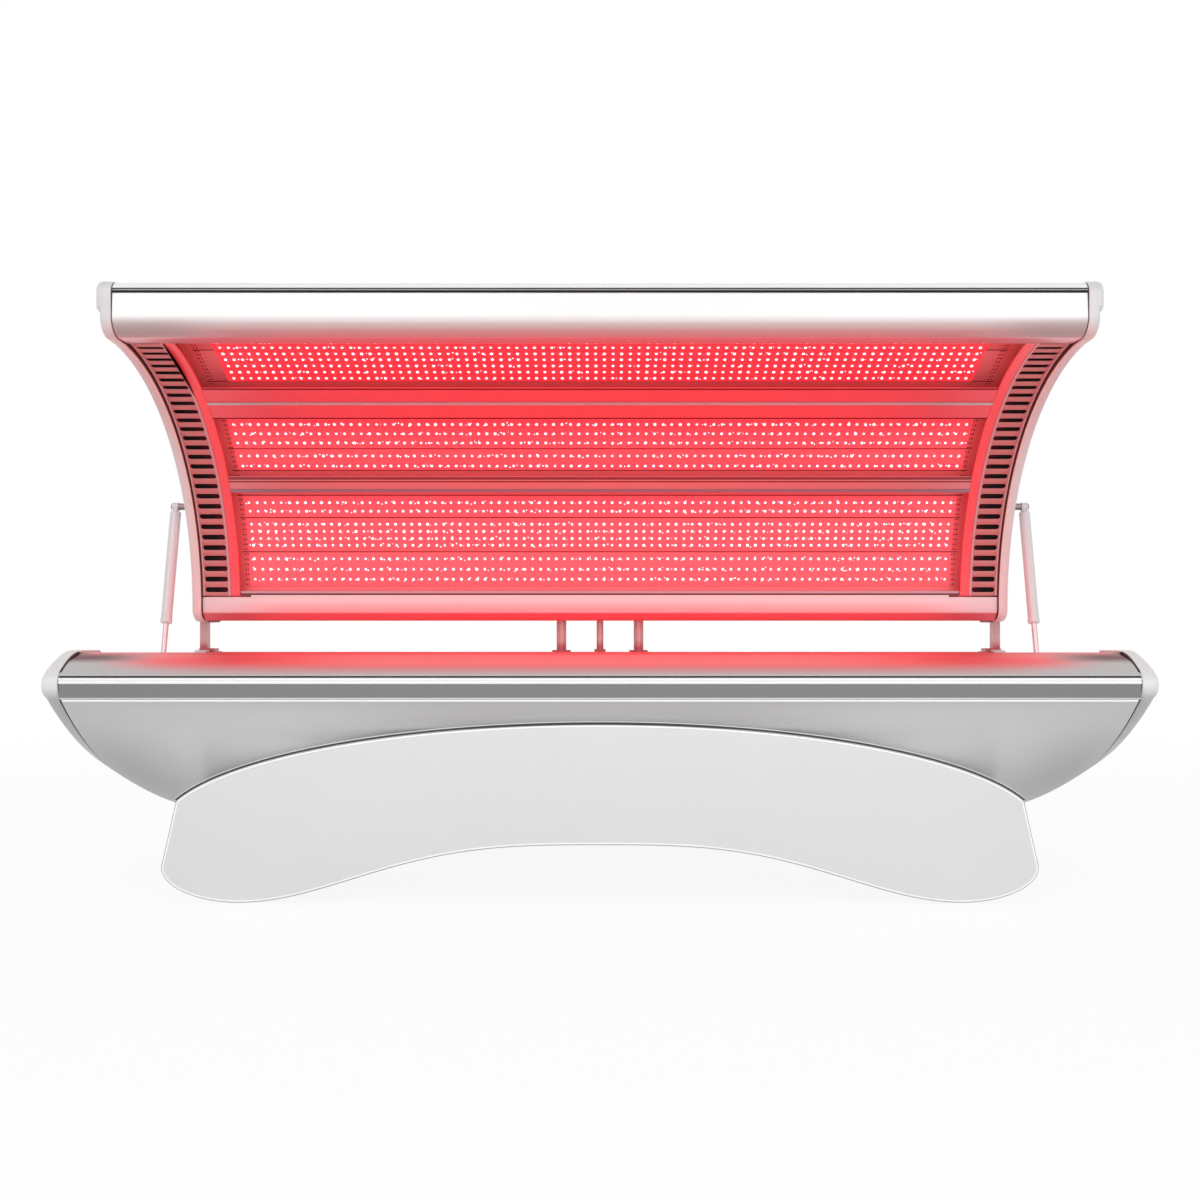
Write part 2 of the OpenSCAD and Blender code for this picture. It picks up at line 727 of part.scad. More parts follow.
// A flat board lying on the facet between two corners, on the side of the centre c
module facet_board(p, q, c, t) {
    margin = 3;
    u = (q - p) / norm(q - p);
    m = (p + q) / 2;
    side = [-u[1], u[0]] * (c - m) > 0 ? 1 : -1;
    out = side * [-u[1], u[0]];
    n = t * out;
    a = p + margin * u + flat_ease * out;
    b = q - margin * u + flat_ease * out;
    polygon(side > 0 ? [a, b, b + n, a + n] : [a, a + n, b + n, b]);
}

module bench_led_boards() {
    color("crimson") for (i = [0:facet_n - 1]) along_x(-bench_board_half, bench_board_half)
        facet_board(bench_vertex(i, bench_tray_r), bench_vertex(i + 1, bench_tray_r), [0, dish_cz], board_t);
}

module power_supplies() {
    psu_l = 215;
    psu_w = 115;
    psu_h = 50;
    color("lightgray") both_ends() translate([frame_x / 2 - psu_l / 2, -psu_w / 2, cross_z - tray_t - psu_h])
        cube([psu_l, psu_w, psu_h]);
}

// Fans, drawn with the air going up, and the frame's foot at zero

motor_r = 18;
motor_plate_t = 3;
axle_r = 3;
arm_w = 4;

module fan_frame() {
    screw_in = 8;
    screw_r = 2.2;
    screw = fan_w / 2 - screw_in;
    difference() {
        translate([-fan_w / 2, -fan_w / 2, 0]) cube([fan_w, fan_w, fan_d]);
        translate([0, 0, -cut]) cylinder(h = fan_d + 2 * cut, r = fan_r, $fn = 96);
        for (x = [-screw, screw]) for (y = [-screw, screw])
            translate([x, y, -cut]) cylinder(h = fan_d + 2 * cut, r = screw_r, $fn = 24);
    }
    // Motor plate, its four arms and its axle, at the foot of the frame
    cylinder(h = motor_plate_t, r = motor_r, $fn = 48);
    for (a = [45:90:315]) rotate([0, 0, a]) translate([motor_r - 2 * cut, -arm_w / 2, 0])
        cube([fan_r - motor_r + 4 * cut, arm_w, motor_plate_t]);
    cylinder(h = fan_d - 2 * motor_plate_t, r = axle_r, $fn = 32);
}

module fan_rotor() {
    blades = 7;
    blade_w = 22;
    blade_t = 2;
    blade_pitch = 35;
    tip_gap = 3;
    hub_r = motor_r + 2;
    hub_z = motor_plate_t + cut;
    color("dimgray") difference() {
        union() {
            translate([0, 0, hub_z]) cylinder(h = fan_d - 2 * hub_z, r = hub_r, $fn = 64);
            for (i = [0:blades - 1]) rotate([0, 0, 360 * i / blades]) translate([hub_r - cut, 0, fan_d / 2])
                rotate([blade_pitch, 0, 0]) translate([0, -blade_w / 2, -blade_t / 2])
                    cube([fan_r - tip_gap - hub_r, blade_w, blade_t]);
        }
        translate([0, 0, hub_z - cut]) cylinder(h = fan_d, r = axle_r + pin_gap, $fn = 32);
    }
}

// The air holes of a guard: rings cut through, with three bars left across them
guard_rim = 6;
guard_first = 17;
guard_hole = 6;
guard_step = 9.5;

module guard_holes(depth) {
    for (r = [guard_first:guard_step:fan_r - guard_hole / 2]) difference() {
        translate([0, 0, -cut]) cylinder(h = depth + 2 * cut, r = r + guard_hole, $fn = 72);
        translate([0, 0, -2 * cut]) cylinder(h = depth + 4 * cut, r = r, $fn = 72);
        for (a = [0:60:120]) rotate([0, 0, a]) translate([-fan_w, -arm_w / 2, -2 * cut])
            cube([2 * fan_w, arm_w, depth + 4 * cut]);
    }
}

bench_guard_t = 2;

module fan_guard_disc() {
    difference() {
        cylinder(h = bench_guard_t, r = fan_r + guard_rim, $fn = 96);
        guard_holes(bench_guard_t);
    }
}

bench_fan_z = belly_cz - sqrt(pow(belly_r - hull_wall, 2) - pow(fan_w / 2, 2)) + ease;

module at_bench_fans(side) { translate([side * bench_fan_x, 0, bench_fan_z]) children(); }

module bench_fan_frames() {
    color("black") for (s = [-1, 1]) at_bench_fans(s) fan_frame();
}
module bench_fan_rotor_left() { at_bench_fans(-1) fan_rotor(); }
module bench_fan_rotor_right() { at_bench_fans(1) fan_rotor(); }
module bench_fan_guards() {
    color("dimgray") for (s = [-1, 1]) translate([s * bench_fan_x, 0, belly_h - bench_guard_t])
        fan_guard_disc();
}

// Mains plate, inlet and switch on the rear skirt

inlet_dx = -22;
rocker_dx = 26;
rocker_w = 18;
rocker_h = 24;
inlet_w = 30;
inlet_h = 22;
bezel_gap = 0.6;
pivot_back = 6;
pivot_r = 1.5;
ear_t = 3;
ear_gap = 0.7;
ear_half = 6;

module inlet_plate() {
    color("darkgray") difference() {
        box(inlet_x - plate_w / 2, inlet_x + plate_w / 2, skirt_y, skirt_y + plate_t,
            inlet_z - plate_h / 2, inlet_z + plate_h / 2);
        box(inlet_x + inlet_dx - inlet_w / 2, inlet_x + inlet_dx + inlet_w / 2, skirt_y - cut,
            skirt_y + plate_t + cut, inlet_z - inlet_h / 2, inlet_z + inlet_h / 2);
        box(inlet_x + rocker_dx - rocker_w / 2 - bezel_gap, inlet_x + rocker_dx + rocker_w / 2 + bezel_gap,
            skirt_y - cut, skirt_y + plate_t + cut, inlet_z - rocker_h / 2 - 2 * bezel_gap,
            inlet_z + rocker_h / 2 + 2 * bezel_gap);
    }
    // Two ears behind the plate that carry the rocker's pivot
    color("darkgray") for (s = [-1, 1]) {
        ear_x = inlet_x + rocker_dx + s * (rocker_w / 2 + ear_gap + ear_t / 2);
        difference() {
            box(ear_x - ear_t / 2, ear_x + ear_t / 2, skirt_y - 2 * pivot_back, skirt_y, inlet_z - ear_half,
                inlet_z + ear_half);
            rod_x(ear_x - ear_t, ear_x + ear_t, skirt_y - pivot_back, inlet_z, pivot_r + pin_gap);
        }
    }
}

module mains_inlet() {
    x = inlet_x + inlet_dx;
    lip_t = 3;
    lip_w = 4;
    wall = 2.5;
    socket_d = 16;
    behind = 22;
    mouth = skirt_y + plate_t + lip_t;
    pin_pitch = 8;
    pin_short = 6;
    color("black") difference() {
        union() {
            box(x - inlet_w / 2, x + inlet_w / 2, skirt_y - behind, skirt_y + plate_t,
                inlet_z - inlet_h / 2, inlet_z + inlet_h / 2);
            box(x - inlet_w / 2 - lip_w, x + inlet_w / 2 + lip_w, skirt_y + plate_t, mouth,
                inlet_z - inlet_h / 2 - lip_w, inlet_z + inlet_h / 2 + lip_w);
        }
        box(x - inlet_w / 2 + wall, x + inlet_w / 2 - wall, mouth - socket_d, mouth + cut,
            inlet_z - inlet_h / 2 + wall, inlet_z + inlet_h / 2 - wall);
    }
    color("goldenrod") for (i = [-1:1]) translate([x + i * pin_pitch, mouth - socket_d, inlet_z])
        box(-1, 1, 0, socket_d - pin_short, -3, 3);
}

module power_rocker() {
    rest_tilt = -8;
    top = rocker_h / 2 - 1;
    tip = 11;
    waist = 9.5;
    root = 3;
    color("black") translate([inlet_x + rocker_dx, skirt_y - pivot_back, inlet_z]) {
        rotate([rest_tilt, 0, 0]) along_x(-rocker_w / 2, rocker_w / 2)
            polygon([[-root, -root], [root, -top], [tip, -top], [waist, 0], [tip, top], [root, top],
                [-root, root]]);
        rod_x(-rocker_w / 2 - ear_gap - ear_t, rocker_w / 2 + ear_gap + ear_t, 0, 0, pivot_r);
    }
}

// Posts

post_gap = 0.5;
post_x1 = half - cap_wall - post_gap;
post_x0 = post_x1 - post_w;
lug_in = 24.5;
lug_x = run_x - lug_in;
lug_t = 8;
lug_top = 6;
mid_lug_x = mid_post_x + mid_post_r + 14;
foot_lip = 6;

module hinge_post() {
    wall = 4;
    foot_in = 12;
    foot_y0 = hinge_y - post_d / 2 - foot_lip;
    foot_y1 = hinge_y + post_d / 2 + foot_lip;
    pin_past = 6;
    collar_r = pin_r + 3;
    color("lightgray") difference() {
        union() {
            difference() {
                box(post_x0, post_x1, hinge_y - post_d / 2, hinge_y + post_d / 2, bench_h, hinge_z);
                box(post_x0 + wall, post_x1 - wall, hinge_y - post_d / 2 + wall, hinge_y + post_d / 2 - wall,
                    bench_h + wall, hinge_z - pin_r - wall);
            }
            rod_x(post_x0, post_x1, hinge_y, hinge_z, post_d / 2);
            box(cap_x - foot_in, post_x1, foot_y0, foot_y1, bench_h, bench_h + flange_t);
            box(cap_x - foot_in, run_x, foot_y0, foot_y1, rim_top, bench_h);
        }
        rod_x(post_x0 - cut, post_x1 + cut, hinge_y, hinge_z, pin_r + pin_gap);
    }
    // The pin, with the collar that keeps the lug in its place
    color("silver") {
        rod_x(lug_x - lug_t - pin_past, post_x1, hinge_y, hinge_z, pin_r);
        rod_x(lug_x + lug_t / 2 + ease, lug_x + lug_t, hinge_y, hinge_z, collar_r);
    }
}

module hinge_post_right() { hinge_post(); }
module hinge_post_left() { left() hinge_post(); }

module centre_posts() {
    base_r = 26;
    color("lightgray") both_ends() difference() {
        union() {
            translate([mid_post_x, hinge_y, rim_top]) cylinder(h = hinge_z - rim_top, r = mid_post_r, $fn = 64);
            translate([mid_post_x, hinge_y, rim_top]) cylinder(h = flange_t, r = base_r, $fn = 72);
            rod_x(mid_post_x - mid_post_r, mid_post_x + mid_post_r, hinge_y, hinge_z, bearing_r);
        }
        rod_x(mid_post_x - 2 * bearing_r, mid_post_x + 2 * bearing_r, hinge_y, hinge_z, pin_r + pin_gap);
    }
}

module cable_pipe() {
    top = hinge_z - pin_r - 6;
    wall = 1.5;
    nut_h = 8;
    nut_r = pipe_r + 6;
    color("lightgray") difference() {
        union() {
            translate([0, hinge_y, rim_top]) cylinder(h = top - rim_top, r = pipe_r, $fn = 64);
            translate([0, hinge_y, rim_top]) cylinder(h = nut_h, r = nut_r, $fn = 6);
        }
        translate([0, hinge_y, rim_top - cut]) cylinder(h = top, r = pipe_r - wall, $fn = 64);
    }
}

module strut_lower_studs() {
    base_t = 5;
    base_r = 13;
    color("gray") both_ends() {
        rod_x(half, half + base_t, strut_low_y, strut_low_z, base_r);
        rod_x(half, strut_x - eye_w / 2 - strut_gap, strut_low_y, strut_low_z, stud_collar_r);
    }
}

// Canopy

// Front face of the nose: flat, rounded below and above. It grows outwards or, for the hollow, shrinks.
function nose_face(grow) =
    let (low_c = [nose_front + nose_low_r, nose_low + nose_low_r],
        top_c = [nose_front + nose_top_r, nose_low + nose_h - nose_top_r])
    concat(arc(low_c, nose_low_r + grow, 270, 180, 8), arc(top_c, nose_top_r + grow, 180, 96, 8));

shell_lift = 5;

module canopy_shell() {
    a0 = asin((low_z + shell_lift - shell_z) / shell_r);
    a1 = acos((nose_back + flat_ease - shell_y) / shell_in);
    difference() {
        color("gainsboro") along_x(-run_x, run_x) intersection() {
            difference() {
                translate(shell_c) circle(r = shell_r, $fn = 256);
                translate(shell_c) circle(r = shell_in, $fn = 256);
            }
            polygon(concat([shell_c], arc(shell_c, 2 * shell_r, a0, a1, 4)));
        }
        at_canopy_fans() translate([0, 0, fan_d - cut]) cylinder(h = fan_d, r = fan_r, $fn = 72);
    }
}

// Places a fan inside the canopy shell, blowing out
module at_canopy_fan(side) {
    seat = sqrt(pow(shell_in, 2) - pow(fan_w / 2, 2)) - ease;
    translate([side * canopy_fan_x, shell_y, shell_z]) rotate([canopy_fan_angle - 90, 0, 0])
        translate([0, 0, seat - fan_d]) children();
}
module at_canopy_fans() { for (s = [-1, 1]) at_canopy_fan(s) children(); }

module canopy_fan_frames() { color("black") at_canopy_fans() fan_frame(); }
module canopy_fan_rotor_left() { at_canopy_fan(-1) fan_rotor(); }
module canopy_fan_rotor_right() { at_canopy_fan(1) fan_rotor(); }

// Curved guards that lie on the shell
module canopy_fan_guards() {
    guard_t = 2.5;
    depth = 2 * fan_d;
    color("dimgray") for (s = [-1, 1]) intersection() {
        difference() {
            rod_x(-half, half, shell_y, shell_z, shell_r + guard_t, 360);
            rod_x(-half - cut, half + cut, shell_y, shell_z, shell_r, 360);
        }
        at_canopy_fan(s) difference() {
            cylinder(h = depth, r = fan_r + guard_rim, $fn = 96);
            guard_holes(depth);
        }
    }
}

module canopy_backbone() {
    w = 4;
    shell_at = shell_y + sqrt(pow(shell_in, 2) - pow(low_z + shell_lift + w - shell_z, 2));
    lug_r = 22;
    lug_neck = 10;
    color("silver") union() {
        along_x(-run_x, run_x) difference() {
            union() {
                translate([back_y0, low_z + cap_proud])
                    square([back_y1 - back_y0, back_top - low_z - cap_proud]);
                translate([back_y1 - w, low_z + shell_lift]) square([shell_at - back_y1 + w - ease, w]);
            }
            translate([back_y0 + w, 0]) square([back_y1 - back_y0 - 2 * w, back_top - w]);
        }
        for (x = [mid_lug_x, lug_x]) both_ends() difference() {
            along_x(x - lug_t / 2, x + lug_t / 2) union() {
                translate([back_y0 + w, hinge_z + lug_top])
                    square([back_y1 - back_y0 - 2 * w, channel_h - w - lug_top]);
                translate([hinge_y, hinge_z]) circle(r = lug_r, $fn = 72);
                translate([hinge_y - lug_r, hinge_z]) square([2 * lug_r, lug_neck]);
            }
            rod_x(x - lug_t, x + lug_t, hinge_y, hinge_z, pin_r + pin_gap);
        }
    }
}

module hinge_shaft() {
    reach = mid_lug_x + lug_t / 2 + ease;
    ring_w = 4;
    color("silver") {
        rod_x(-reach, reach, hinge_y, hinge_z, pin_r);
        both_ends() rod_x(reach, reach + ring_w, hinge_y, hinge_z, pin_r + ring_w);
    }
}

module canopy_nose() {
    w = rail_wall;
    groove_angles = [172, 146];
    color("whitesmoke") along_x(-run_x, run_x) difference() {
        polygon(concat([[nose_back, nose_low]], nose_face(0), [[nose_back, nose_top_in]]));
        polygon(concat([[nose_back - w, nose_low + w]], nose_face(-w), [[nose_back - w, nose_top_in - w]]));
        for (a = groove_angles) translate([nose_front + nose_top_r, nose_low + nose_h - nose_top_r]) rotate(a)
            translate([nose_top_r - groove, -groove / 2]) square([2 * groove, groove]);
    }
}

module bottom_rail() {
    w = rail_wall;
    chin_h = 22;
    slope = [18, 20];
    bevel = 3;
    start = [rail_front, low_z + chin_h];
    chin = start + [slope[0], -slope[1]];
    color("lightpink") along_x(-run_x, run_x) difference() {
        polygon([[rail_front, rail_top], start, start + [bevel, -bevel - 2], chin, [chin[0] + bevel, low_z],
            [back_y0, low_z], [back_y0, rail_top]]);
        polygon([[rail_front + w, rail_top - w], start + [w, 1], [chin[0] + bevel, low_z + w],
            [back_y0 - w, low_z + w], [back_y0 - w, rail_top - w]]);
    }
}

// Canopy end caps

function reversed(list) = [for (i = [len(list) - 1:-1:0]) list[i]];

chin_w = 32;
chin_h = 30;
rear_w = 22;
rear_h = 14;

module canopy_cap_outline() {
    front_y = rail_front - 7;
    low = low_z - cap_proud;
    r_out = shell_r + cap_proud;
    back_y = shell_y + r_out;
    a_low = asin((arc_z - (low + chin_h)) / cap_r);
    chin = [[front_y, low + chin_h], [front_y + 1, low + 22], [front_y + 8, low + 12], [front_y + 26, low + 1],
        [front_y + chin_w, low]];
    rear = [[back_y - rear_w, low], [back_y - 6, low + 5]];
    polygon(concat(chin, rear, arc(shell_c, r_out, asin((low + rear_h - shell_z) / r_out), 93, 48),
        reversed(nose_face(cap_proud)), arc(arc_c, cap_r, 84, -a_low, 44)));
}

module canopy_cap() {
    slot_front = hinge_y - post_d / 2 - 42;
    slot_back = hinge_y + post_d / 2 + 4;
    slot_top = low_z + 14;
    color("whitesmoke") difference() {
        along_x(cap_x, half) canopy_cap_outline();
        along_x(cap_x - cut, half - cap_wall) offset(delta = -cap_wall) canopy_cap_outline();
        box(cap_x - cut, half - cap_wall, slot_front, slot_back, low_z - 2 * cap_proud, slot_top);
    }
}

module canopy_cap_right() { canopy_cap(); }
module canopy_cap_left() { left() canopy_cap(); }

module canopy_end_seals() {
    color("black") both_ends() along_x(run_x, cap_x) difference() {
        offset(delta = -seal_inset) canopy_cap_outline();
        offset(delta = -seal_inset - seal_w) canopy_cap_outline();
    }
}

// Lamp trays, boards and sheets

facet_last = len(facet_angles) - 1;
function facet_point(i, r) = arc_c + r * [cos(facet_angles[i]), sin(facet_angles[i])];
function facet_middle(i) = (facet_angles[i] + facet_angles[i + 1]) / 2;
function facet_reach(i, r) = r * cos((facet_angles[i + 1] - facet_angles[i]) / 2);

module tray_section() {
    inner = [for (i = [0:facet_last]) facet_point(i, tray_r)];
    outer = [for (i = [facet_last:-1:0]) facet_point(i, tray_r + tray_t)];
    leg_in = [facet_point(0, tray_r)[0], back_top];
    polygon(concat([leg_in], inner, outer, [leg_in + [tray_t, 0]]));
}

module canopy_led_trays() { color("silver") along_x(-tray_half, tray_half) tray_section(); }

module canopy_led_boards() {
    color("crimson") for (i = [0:facet_last - 1]) if (i != rail_facets[0] && i != rail_facets[1]) {
        reach = strip_x - (i >= top_facet ? lamp_end_top : lamp_end);
        along_x(-reach, reach) facet_board(facet_point(i, tray_r), facet_point(i + 1, tray_r), arc_c, board_t);
    }
}

// A curved plate about the canopy's inner centre
module curved_plate(x0, x1, r0, r1, a0, a1) {
    along_x(x0, x1) intersection() {
        difference() {
            translate(arc_c) circle(r = r1, $fn = 256);
            translate(arc_c) circle(r = r0, $fn = 256);
        }
        polygon(concat([arc_c], arc(arc_c, 2 * r1, a0, a1, 4)));
    }
}

band_drop = 4;
band_a0 = asin((rail_top - arc_z) / (band_r - band_drop)) + 0.3;
band_a1 = acos((nose_back - arc_y + 2 * cut) / band_r);
sheet_r = band_r + band_plate_t + sheet_ease;

module canopy_acrylic() {
    joints = [for (f = rail_facets) facet_middle(f)];
    clear = 0.25;
    edges = [band_a0, joints[0] - clear, joints[0] + clear, joints[1] - clear, joints[1] + clear, band_a1];
    reach = strip_x - strip_w / 3;
    color([1, 0.6, 0.6, 0.35]) for (i = [0:2])
        curved_plate(-reach, reach, sheet_r, sheet_r + acrylic_t - 1, edges[2 * i], edges[2 * i + 1]);
}

module canopy_cross_rails() {
    in_r = band_r - 1;
    bead_h = 4;
    web_t = 2;
    web_in = in_r + rail_plate_t;
    reach = strip_x - strip_w;
    color("pink") for (i = [0:1]) {
        c = cross_rails[i];
        f = rail_facets[i];
        curved_plate(-reach, reach, in_r, web_in + 1, c[0], c[1]);
        curved_plate(-reach, reach, in_r - bead_h, in_r, c[2], c[3]);
        along_x(-reach, reach) translate(arc_c) rotate(facet_middle(f)) translate([web_in, -web_t / 2])
            square([facet_reach(f, tray_r) - web_in - flat_ease, web_t]);
    }
}

module edge_strips() {
    color("red") both_ends() curved_plate(strip_x - strip_w, strip_x, band_r + band_plate_t - strip_t,
        band_r + band_plate_t, band_a0, band_a1);
}

module vent_band() {
    slot_edge = 6.5;
    slot_out = run_x - slot_edge;
    color("rosybrown") difference() {
        curved_plate(strip_x, run_x, band_r, band_r + band_plate_t, band_a0, band_a1);
        for (i = [0:slot_n - 1]) translate([0, arc_y, arc_z]) rotate([slot_first + slot_step * i, 0, 0])
            box(slot_out - slot_len, slot_out, band_r - 10, band_r + 20, -slot_h / 2, slot_h / 2);
    }
}

module vent_band_right() { vent_band(); }
module vent_band_left() { left() vent_band(); }

// Ribs: an end rib behind each slotted band, and plates between the trays and the shell

module rib_space(inner_pts) {
    intersection() {
        difference() {
            translate(shell_c) circle(r = shell_in - ease, $fn = 256);
            polygon(inner_pts);
            square([shell_r, back_top]);
        }
        translate([nose_back + ease, arc_z]) square([2 * shell_r, 2 * shell_r]);
    }
}

module canopy_ribs() {
    tray_pts = concat([arc_c, [facet_point(0, tray_r)[0] + tray_t, arc_z]],
        [for (i = [0:facet_last]) facet_point(i, tray_r + tray_t + flat_ease)],
        [facet_point(facet_last, tray_r + tray_t) - [band_r, 0]]);
    end_pts = concat([arc_c], arc(arc_c, band_r + band_plate_t + ease, 0, 100, 60));
    end_x = strip_x + cut;
    color("tan") both_ends() {
        for (x = rib_places) along_x(x - rib_t / 2, x + rib_t / 2) rib_space(tray_pts);
        along_x(end_x, end_x + rib_t) rib_space(end_pts);
    }
}

module lamp_drivers() {
    driver_l = 220;
    driver_w = 62;
    driver_h = 34;
    f = rail_facets[0];
    color("lightgray") both_ends() along_x(rib_pitch - driver_l / 2, rib_pitch + driver_l / 2)
        translate(arc_c) rotate(facet_middle(f))
            translate([facet_reach(f, tray_r + tray_t) + flat_ease, -driver_w / 2])
                square([driver_h, driver_w]);
}

// Gas struts, each drawn from its upper pin towards its lower one

module strut_upper_studs() {
    eye_out = eye_w / 2 + strut_gap;
    head = 3;
    color("gray") both_ends() {
        rod_x(half, strut_x - eye_out, strut_top_y, strut_top_z, stud_collar_r);
        rod_x(half, strut_x + eye_out, strut_top_y, strut_top_z, stud_r);
        rod_x(strut_x + eye_out, strut_x + eye_out + head, strut_top_y, strut_top_z, stud_r + head);
    }
}

module at_strut(side) {
    translate([side * strut_x, strut_top_y, strut_top_z]) rotate([strut_tilt + 180, 0, 0]) children();
}

module strut_tube(side) {
    end = tube_start + tube_len;
    neck_r = 8;
    color("whitesmoke") at_strut(side) difference() {
        union() {
            translate([0, 0, tube_start]) cylinder(h = tube_len, r = tube_r, $fn = 72);
            translate([0, 0, end - collar_h]) cylinder(h = collar_h, r = tube_r + collar_out, $fn = 72);
            cylinder(h = tube_start + cut, r = neck_r, $fn = 48);
            rotate([0, 90, 0]) translate([0, 0, -eye_w / 2]) cylinder(h = eye_w, r = eye_r, $fn = 64);
        }
        rotate([0, 90, 0]) translate([0, 0, -eye_w]) cylinder(h = 2 * eye_w, r = stud_r + pin_gap, $fn = 48);
        translate([0, 0, tube_start + tube_cap])
            cylinder(h = tube_len - 2 * tube_cap, r = tube_r - tube_wall, $fn = 64);
        translate([0, 0, end - 2 * tube_cap]) cylinder(h = 3 * tube_cap, r = rod_r + pin_gap, $fn = 64);
    }
}

module strut_rod(side) {
    start = tube_start + piston_stop;
    color("silver") at_strut(side) {
        translate([0, 0, start]) cylinder(h = strut_len - start, r = rod_r, $fn = 64);
        translate([0, 0, start]) cylinder(h = piston_len, r = tube_r - tube_wall - 2 * pin_gap, $fn = 64);
        translate([-eye_w / 2, 0, strut_len]) rotate([0, 90, 0]) cylinder(h = eye_w, r = eye_r, $fn = 64);
    }
}

module strut_tube_right() { strut_tube(1); }
module strut_tube_left() { strut_tube(-1); }
module strut_rod_right() { strut_rod(1); }
module strut_rod_left() { strut_rod(-1); }

pedestal_frame();
front_skirt();
rear_skirt();
pedestal_end_left();
pedestal_end_right();
levelling_foot_front_left();
levelling_foot_front_right();
levelling_foot_rear_left();
levelling_foot_rear_right();
bench_hull();
bench_frame();
front_rim();
rear_rim();
trim_bands();
trim_beads();
bench_cap_left();
bench_cap_right();
bench_end_seals();
bench_acrylic();
bench_led_tray();
bench_led_boards();
power_supplies();
bench_fan_frames();
bench_fan_guards();
bench_fan_rotor_left();
bench_fan_rotor_right();
inlet_plate();
mains_inlet();
power_rocker();
hinge_post_left();
hinge_post_right();
centre_posts();
cable_pipe();
strut_lower_studs();
canopy_shell();
canopy_backbone();
canopy_nose();
bottom_rail();
canopy_cap_left();
canopy_cap_right();
canopy_end_seals();
canopy_ribs();
canopy_led_trays();
canopy_led_boards();
canopy_acrylic();
canopy_cross_rails();
edge_strips();
vent_band_left();
vent_band_right();
canopy_fan_frames();
canopy_fan_guards();
canopy_fan_rotor_left();
canopy_fan_rotor_right();
hinge_shaft();
strut_upper_studs();
lamp_drivers();
strut_tube_left();
strut_tube_right();
strut_rod_left();
strut_rod_right();
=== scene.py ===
# Looks of a light therapy bed with a hinged canopy: finishes, lamps, smooth covers, light and camera.
import json
import math
import random
import bmesh
import bpy
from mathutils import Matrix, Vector


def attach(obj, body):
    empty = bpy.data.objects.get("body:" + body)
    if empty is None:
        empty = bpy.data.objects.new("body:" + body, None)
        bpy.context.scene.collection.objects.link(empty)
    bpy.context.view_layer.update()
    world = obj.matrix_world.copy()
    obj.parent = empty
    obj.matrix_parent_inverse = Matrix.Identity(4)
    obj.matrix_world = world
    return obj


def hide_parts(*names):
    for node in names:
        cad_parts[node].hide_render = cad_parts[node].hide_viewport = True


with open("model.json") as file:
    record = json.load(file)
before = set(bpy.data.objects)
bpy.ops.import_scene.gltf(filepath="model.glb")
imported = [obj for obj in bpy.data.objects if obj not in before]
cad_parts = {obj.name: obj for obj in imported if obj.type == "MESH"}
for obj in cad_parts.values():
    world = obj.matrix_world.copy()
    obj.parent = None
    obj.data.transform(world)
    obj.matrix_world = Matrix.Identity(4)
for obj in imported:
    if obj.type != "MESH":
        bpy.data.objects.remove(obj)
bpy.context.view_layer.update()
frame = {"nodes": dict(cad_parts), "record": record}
nodes = frame["nodes"]
random.seed(7)

# Sizes in millimetres, in the part's own frame
MM = 0.001
HALF = 1100
CAP_X = 1066.5
RUN_X = 1064.5
BENCH_H = 508
RIM_TOP = 503
RIM_FOOT = 411
RIM_R = 180
NOSE_Y = 550
FACE_Y = 547.5
SEAT_Y = 343
SHOULDER_Y = 428
BEAD_Z = 447
BAND_Z = 414
BAND_H = 27
BAND_T = 2.2
BELLY_R = 662.4
BELLY_Z = 790.4

ARC = Vector((-270, 625))
SHELL = Vector((-240, 605.96))
SHELL_R = 712
BAND_R = 585
CAP_R = 571
HINGE = Vector((395, 615))
STRIP_X = 990
STRIP_W = 24
ENDS = ((1, "right"), (-1, "left"))


# Small geometry helpers

def turn(centre, radius, degrees):
    a = math.radians(degrees)
    return Vector((centre[0] + radius * math.cos(a), centre[1] + radius * math.sin(a)))


def arc(centre, radius, start, end, steps):
    return [turn(centre, radius, start + (end - start) * i / steps) for i in range(steps + 1)]


def inset(points, distance):
    """Moves a closed outline inwards, whichever way round it runs."""
    area = sum(a[0] * b[1] - b[0] * a[1] for a, b in zip(points, points[1:] + points[:1]))
    sign = 1 if area > 0 else -1
    moved = []
    count = len(points)
    for i, p in enumerate(points):
        before = (p - points[i - 1]).normalized()
        after = (points[(i + 1) % count] - p).normalized()
        n1 = sign * Vector((-before[1], before[0]))
        n2 = sign * Vector((-after[1], after[0]))
        n = (n1 + n2).normalized()
        moved.append(p + n * distance / max(0.5, n.dot(n1)))
    return moved


# Pieces

def add_object(name, data):
    obj = bpy.data.objects.new(name, data)
    bpy.context.scene.collection.objects.link(obj)
    return obj


def solid(name, verts, faces):
    """An object from points in millimetres, with double points merged and its normals outwards."""
    mesh = bpy.data.meshes.new(name)
    mesh.from_pydata([Vector(v) * MM for v in verts], [], faces)
    edit = bmesh.new()
    edit.from_mesh(mesh)
    bmesh.ops.remove_doubles(edit, verts=edit.verts, dist=1e-6)
    bmesh.ops.recalc_face_normals(edit, faces=edit.faces)
    edit.to_mesh(mesh)
    edit.free()
    return add_object(name, mesh)


def piece(name, verts, faces, body, mat, replaced=(), smooth=40):
    """A visible piece on a body. Its edges are sharp above the smooth angle, in degrees."""
    obj = solid(name, verts, faces)
    obj.data.materials.append(MATS[mat])
    shade(obj, smooth)
    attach(obj, body)
    if replaced:
        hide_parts(*replaced)
    return obj


def shade(obj, angle):
    mesh = obj.data
    mesh.polygons.foreach_set("use_smooth", [True] * len(mesh.polygons))
    if angle < 180:
        mesh.set_sharp_from_angle(angle=math.radians(angle))
    mesh.update()


